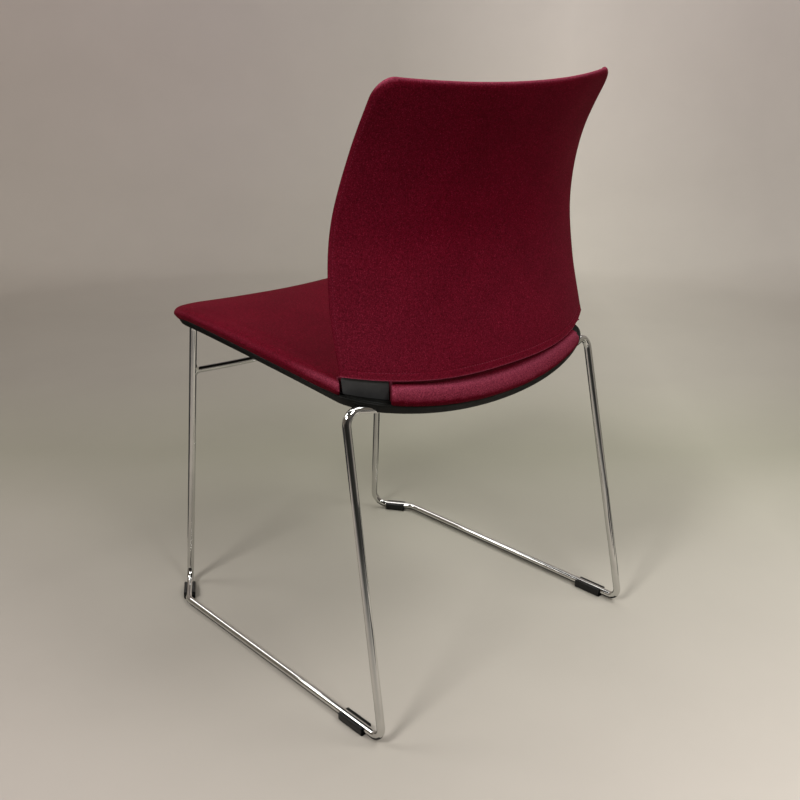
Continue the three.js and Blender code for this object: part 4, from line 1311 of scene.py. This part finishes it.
for name, sign in SIDES:
    height = np.linspace(*SEAM_SHARES, 1200)
    side = sign * (1 - SEAM_IN / back_station(height)[:, 0])
    stitches(f"back_seam_stitching_{name}", *stitch_places(side, height, SEAM_SINK, SEAM_PITCH))

side = np.linspace(-HEM_STITCH_SHARE, HEM_STITCH_SHARE, 1600)
height = np.full(side.shape, (HEM_FOLD + HEM_LINE_UP) / (TOP_Z - HEM_Z))
stitches("back_hem_stitching", *stitch_places(side, height, HEM_SINK, HEM_PITCH),
         length=2.8, thick=0.4)


# Seat pad
def pad_rows():
    face = [{"share": share, "lift": PAN_TOP + PAD + PAD_CROWN * crown, "flank": 1}
            for share, crown in FACE_SHARES]
    side = [{"inset": inset * PAD_EDGE, "lift": PAN_TOP + PAD * (1 - drop),
             "bulge": bulge * BULGE, "flank": flank, "broad": broad, "drape": drape}
            for inset, drop, bulge, flank, broad, drape in SIDE_SHARES]
    tuck = {"inset": PAD_TUCK, "lift": SKIRT + GAP, "rim": 1, "drape": 1}
    return smooth_rows(rows_of(*face, *side, tuck), 6)


def notch_block(side, room=0):
    """Room for an upright's foot, cut out of the pad's rear corner and closer at the rear."""
    _, _, inside = foot_line(UPRIGHT_IN)
    _, _, outside = foot_line(UPRIGHT_OUT)
    run = outside - inside
    width = np.linalg.norm(run) + NOTCH_ROOM_SIDE + room
    run[2] = 0
    run /= np.linalg.norm(run)
    out = np.array([-run[1], run[0], 0])
    depth = UPRIGHT_FOOT + NOTCH_ROOM + room
    corners = []
    for z in (NOTCH_LOW, NOTCH_HIGH):
        for along_run, outward in (
                (-NOTCH_ROOM - room, -depth), (width, -depth),
                (width, FOOT_SET + HEM), (-NOTCH_ROOM_REAR - room, FOOT_SET + HEM)):
            spot = inside + run * along_run + out * outward
            corners.append((spot[0] * side, spot[1], z))
    block = new_mesh("notch", place(corners), [
        (0, 3, 2, 1), (4, 5, 6, 7), (0, 1, 5, 4), (1, 2, 6, 5), (2, 3, 7, 6), (3, 0, 4, 7)])
    tidy(block, 30)
    return block


def remesh(piece, size):
    modifier = piece.modifiers.new("remesh", "REMESH")
    modifier.mode = "VOXEL"
    modifier.voxel_size = size * MM
    apply_all(piece)


def relax(piece, factor, turns):
    modifier = piece.modifiers.new("relax", "SMOOTH")
    modifier.factor = factor
    modifier.iterations = turns
    apply_all(piece)


def hanging(inset, lift):
    """A row that follows the skirt's top, and hangs over it at the front corners."""
    return {"inset": inset, "lift": lift, "rim": 1, "drape": 1}


def shell_room(ring):
    """Room for the shell, open outward below the edge of the felt."""
    return dish("shell_room", ring, rows_of(
        *pan_rows(PAN_TOP + GAP),
        {"inset": LEDGE + SKIRT_EASE - GAP, "lift": PAN_TOP + GAP},
        {"inset": LEDGE - GAP, "lift": SKIRT + GAP, "rim": 1},
        {"inset": -GAP, "lift": SKIRT + GAP, "rim": 1},
        hanging(-2 * GAP, SKIRT),
        hanging(-HEM, SKIRT),
        {"inset": -HEM, "lift": -HEM},
        *pan_rows(-HEM)[::-1]))


def board_room(ring):
    """Room for the board, which leaves the felt round the uprights whole."""
    top, inset = PAN_TOP + COVER + BOARD + 6 * GAP, LEDGE + COVER - GAP
    room = dish("board_room", ring, rows_of(
        *pan_rows(top), {"inset": inset, "lift": top}, {"inset": inset, "lift": 0}, *pan_rows(0)[::-1]))
    for _, side in SIDES:
        combine(room, notch_block(side, COVER), "DIFFERENCE")
    return room


def make_seat_pad():
    """The felt pad, its cover drawn in over the shell's rim and cut out round the uprights."""
    ring = seat_ring(PAD_POINTS)
    below = SKIRT - 2 * TUCK_DEPTH
    tuck = rows_of(hanging(PAD_TUCK, SKIRT - TUCK_DEPTH), hanging(PAD_TUCK, below + 1),
                   hanging(LEDGE, below), *pan_rows(below)[::-1])
    pad = dish("felt_seat_pad", ring, np.vstack([pad_rows(), tuck]))
    for _, side in SIDES:
        combine(pad, notch_block(side), "DIFFERENCE")
    remesh(pad, PAD_VOXEL)
    relax(pad, 0.5, 6)
    combine(pad, shell_room(ring), "DIFFERENCE")
    combine(pad, board_room(ring), "DIFFERENCE")
    tidy(pad, 50)
    mark_painted_highlight(pad, pad_painted_highlight)
    return dress(pad, felt, "maroon_felt", "seat_cover", "seat_foam")


make_seat_pad()


# Stage, light and camera
SWEEP_RUN = (-2.2, 4.4)  # metres from behind the camera to the top of the wall
# the paper's tone along the run, with the studio's light and shade painted in
SWEEP_PAINTED_SHADE = (
    (0.0, (0.05, 0.05, 0.045)), (0.121, (0.13, 0.128, 0.12)), (0.197, (0.42, 0.40, 0.37)),
    (0.265, (0.690, 0.637, 0.567)), (0.348, (0.582, 0.550, 0.473)),
    (0.424, (0.476, 0.463, 0.368)), (0.5, (0.534, 0.506, 0.433)), (0.591, (0.645, 0.613, 0.530)),
    (0.682, (0.835, 0.798, 0.704)), (0.773, (0.841, 0.792, 0.707)), (0.879, (0.926, 0.859, 0.794)),
    (1.0, (0.98, 0.91, 0.87)))
SWEEP_ACROSS = (-1.4, 1.4)  # metres from the left of the picture to the right
# painted light across the paper, brightest right of the middle
SWEEP_PAINTED_SIDE_LIGHT = (
    (0.0, (0.604, 0.574, 0.582)), (0.25, (0.610, 0.588, 0.604)), (0.5, (0.679, 0.679, 0.679)),
    (0.75, (0.985, 0.987, 1.0)), (1.0, (0.748, 0.734, 0.760)))
REAR_PAINTED_GLOW = (  # painted light: a glow the camera alone sees, lifting the sweep behind the camera in views from the front
    (0.0, (0.40, 0.375, 0.335)), (0.12, (0.36, 0.335, 0.30)), (0.2, (0.14, 0.13, 0.115)),
    (0.265, (0, 0, 0)))
PAPER_GRAIN = ((0.3, (0.985, 0.985, 0.985)), (0.7, (1.015, 1.015, 1.015)))
CAMERA_PLACE = (0.9798, 1.0693, 0.8677)
CAMERA_RIGHT = (-0.7288, 0.6847, 0)
CAMERA_UP = (-0.2354, -0.2506, 0.9389)
CAMERA_BACK = (0.6429, 0.6843, 0.3438)
CAMERA_LENS = 46.52
FLOOR_RINGS = (0.25, 0.6, 1.0, 1.5, 2.0, 2.3)  # radii of the flat floor
FLOOR_SIDES = 128
WALL_TURN = 0.7  # radius of the bend up into the wall
WALL_RINGS = (1.0, 1.6, 2.4, 3.2)  # heights


def backdrop_finish():
    """Paper with light and shade painted in from behind the camera to the wall and across, a painted
    glow behind the camera, and clear from outside.
    """
    f = Finish("studio paper")
    parts = f.node("SeparateXYZ", Vector=f.coords)
    x, y, z = (parts.outputs[axis] for axis in "XYZ")
    cross, run = -CAMERA_RIGHT[0], CAMERA_RIGHT[1]
    near = f.math("ADD", f.math("MULTIPLY", x, run), f.math("MULTIPLY", y, cross))
    across = f.math("SUBTRACT", f.math("MULTIPLY", y, run), f.math("MULTIPLY", x, cross))
    away = f.spread(f.math("SUBTRACT", z, near), 0, 1, *SWEEP_RUN)
    # painted light and shade of the paper, along the run and across it
    floor = f.ramp(away, SWEEP_PAINTED_SHADE)
    light = f.ramp(f.spread(across, 0, 1, *SWEEP_ACROSS), SWEEP_PAINTED_SIDE_LIGHT)
    grain = f.ramp(f.noise(5, 4, 0.6), PAPER_GRAIN)
    f.set("Base Color", f.mix("MULTIPLY", 1.0, f.mix("MULTIPLY", 1.0, floor, light), grain))
    f.set("Roughness", 0.9)
    f.set("Specular IOR Level", 0.1)
    # painted glow, for camera rays alone
    f.set("Emission Color", f.ramp(away, REAR_PAINTED_GLOW))
    f.set("Emission Strength", f.node("LightPath").outputs["Is Camera Ray"])
    choose = f.node("MixShader", Fac=f.node("NewGeometry").outputs["Backfacing"])
    f.link(f.shader.outputs["BSDF"], choose.inputs[1])
    f.link(f.node("BsdfTransparent").outputs["BSDF"], choose.inputs[2])
    f.link(choose.outputs["Shader"], f.tree.nodes["Material Output"].inputs["Surface"])
    return f.material


def make_stage():
    """Round paper sweep: a floor that turns up into a wall on every side."""
    edge = FLOOR_RINGS[-1]
    profile = [(radius, 0) for radius in FLOOR_RINGS]
    profile += [(edge + WALL_TURN * math.sin(a), WALL_TURN * (1 - math.cos(a)))
                for a in np.linspace(0.1, math.pi / 2, 14)]
    profile += [(edge + WALL_TURN, z) for z in WALL_RINGS]
    count = FLOOR_SIDES
    spots, faces = [(0, 0, 0)], []
    for radius, z in profile:
        for k in range(count):
            angle = 2 * math.pi * k / count
            spots.append((radius * math.cos(angle), radius * math.sin(angle), z))
    for k in range(count):
        n = (k + 1) % count
        faces.append((0, 1 + k, 1 + n))
        for row in range(len(profile) - 1):
            a, b = 1 + row * count, 1 + (row + 1) * count
            faces.append((a + k, b + k, b + n, a + n))
    sweep = new_mesh("studio_sweep", spots, faces)
    pick(sweep)
    bpy.ops.object.shade_smooth()
    sweep.data.materials.append(backdrop_finish())


VIEW_ANGLE = 46.8  # degrees from the X axis to the camera's side
LAMPS = (  # degrees from the camera's side, degrees up, size and watts
    ("key_left", -35, 40, 0.6, 35), ("key_right", 33, 40, 0.7, 21), ("side_left", -92, 40, 0.9, 15),
    ("side_right", 75, 56, 1.0, 19), ("far_right", 132, 52, 1.2, 8), ("far_top", 180, 66, 1.0, 9))
LAMP_REACH = 2.6
LAMP_TARGET = (0, 0, 0.35)
LAMP_COLOUR = (1.0, 0.985, 0.96)
# dark sheets that only the chrome sees, as painted reflection
PAINTED_REFLECTION_SHEETS = (((-0.12, 0.6), (0.13, 2.4)), ((-1.0, 0.6), (-0.3, 2.4)),
               ((-2.4, -2.4), (-0.38, 0.35)), ((-0.38, -2.4), (2.0, -0.42)))
REFLECTION_SHEET_Z = 0.003
REFLECTION_SHEET_TONE = (0.012, 0.012, 0.012, 1)
SHADE_Z = 0.6  # of the painted contact shade below the runners, in millimetres
SHADE_WIDTH_SHARE = 0.9  # of the rod to each side
SHADE_TONE = (0.01, 0.01, 0.01, 1)
# glowing sheet overhead that lights nothing and shows only in the chrome: painted highlights
HIGHLIGHT_SHEET = ((-0.55, -2.6, 1.9), (0.55, -2.6, 1.9), (0.55, 1.6, 2.7), (-0.55, 1.6, 2.7))
HIGHLIGHT_SHEET_TONE = (0.8, 0.8, 0.8, 1)
HIGHLIGHT_SHEET_GLOW = 2.4
FILL_COLOUR = (1.0, 0.98, 0.95, 1)
FILL = 0.1


def paint_reflection(piece, name, colour, glow=0):
    """Sheet that shows in glossy surfaces alone, lighting and shading nothing: a painted reflection."""
    cloth = Finish(name)
    cloth.set("Base Color", colour)
    cloth.set("Roughness", 0.9)
    cloth.set("Emission Color", (*LAMP_COLOUR, 1))
    cloth.set("Emission Strength", glow)
    piece.data.materials.append(cloth.material)
    piece.visible_camera = False
    piece.visible_diffuse = False
    piece.visible_shadow = False
    piece.visible_transmission = False


def painted_reflection_sheet(name, low, high):
    """Dark sheet beyond the paper which only the chrome sees: a painted dark reflection."""
    corners = (low, (high[0], low[1]), high, (low[0], high[1]))
    board = new_mesh(name, [(*corner, REFLECTION_SHEET_Z) for corner in corners], [(0, 1, 2, 3)])
    paint_reflection(board, "painted dark reflection", REFLECTION_SHEET_TONE)


def rod_shade(name, start, end, side):
    """Painted contact shade below a runner: a dark sheet which only the chrome sees."""
    start, end = (Vector((spot[0] * side, spot[1], SHADE_Z)) for spot in (start, end))
    across = (end - start).normalized().cross(Vector((0, 0, 1))) * ROD * SHADE_WIDTH_SHARE
    corners = [start - across, end - across, end + across, start + across]
    board = new_mesh(name, place(corners), [(0, 1, 2, 3)])
    paint_reflection(board, "contact shade", SHADE_TONE)


def painted_highlight_sheet():
    """Wide glowing sheet overhead that only the chrome sees and that lights nothing: painted highlights,
    the long bright lines on the rods.
    """
    box = new_mesh("overhead_painted_highlight", HIGHLIGHT_SHEET, [(0, 3, 2, 1)])
    paint_reflection(box, "painted highlight cloth", HIGHLIGHT_SHEET_TONE, HIGHLIGHT_SHEET_GLOW)


def lamp(name, turn, climb, size, watts):
    """Soft lamp at an angle from the camera's side and a height above the chair's middle."""
    angle, climb = math.radians(VIEW_ANGLE + turn), math.radians(climb)
    level = math.cos(climb)
    way = Vector((level * math.cos(angle), level * math.sin(angle), math.sin(climb)))
    light = bpy.data.lights.new(name, "AREA")
    light.shape = "DISK"
    light.size = size
    light.energy = watts
    light.color = LAMP_COLOUR
    holder = bpy.data.objects.new(name, light)
    bpy.context.scene.collection.objects.link(holder)
    holder.location = Vector(LAMP_TARGET) + way * LAMP_REACH
    holder.rotation_euler = (-way).to_track_quat("-Z", "Y").to_euler()
    holder.visible_camera = False


def make_light():
    """Lamps round the chair, the painted reflections that only its chrome mirrors, and a faint even
    fill.
    """
    for row in LAMPS:
        lamp(*row)
    painted_highlight_sheet()
    for k, (low, high) in enumerate(PAINTED_REFLECTION_SHEETS):
        painted_reflection_sheet(f"painted_reflection_sheet_{k}", low, high)
    for _, side in SIDES:
        for k, (start, end) in enumerate(((FRONT_FOOT, TOE), (TOE, REAR_FOOT))):
            rod_shade(f"rod_shade_{k}_{side}", start, end, side)
    world = bpy.data.worlds.new("studio_fill")
    bpy.context.scene.world = world
    world.use_nodes = True
    fill = world.node_tree.nodes["Background"]
    fill.inputs["Color"].default_value = FILL_COLOUR
    fill.inputs["Strength"].default_value = FILL


def make_camera():
    """The photograph's own viewpoint, fitted to it."""
    lens = bpy.data.cameras.new("camera")
    lens.lens = CAMERA_LENS
    camera = bpy.data.objects.new("camera", lens)
    bpy.context.scene.collection.objects.link(camera)
    turn = Matrix((CAMERA_RIGHT, CAMERA_UP, CAMERA_BACK)).transposed()
    camera.rotation_euler = turn.to_euler()
    camera.location = CAMERA_PLACE
    bpy.context.scene.camera = camera


make_stage()
make_light()
make_camera()
bpy.context.scene.view_settings.view_transform = "Standard"
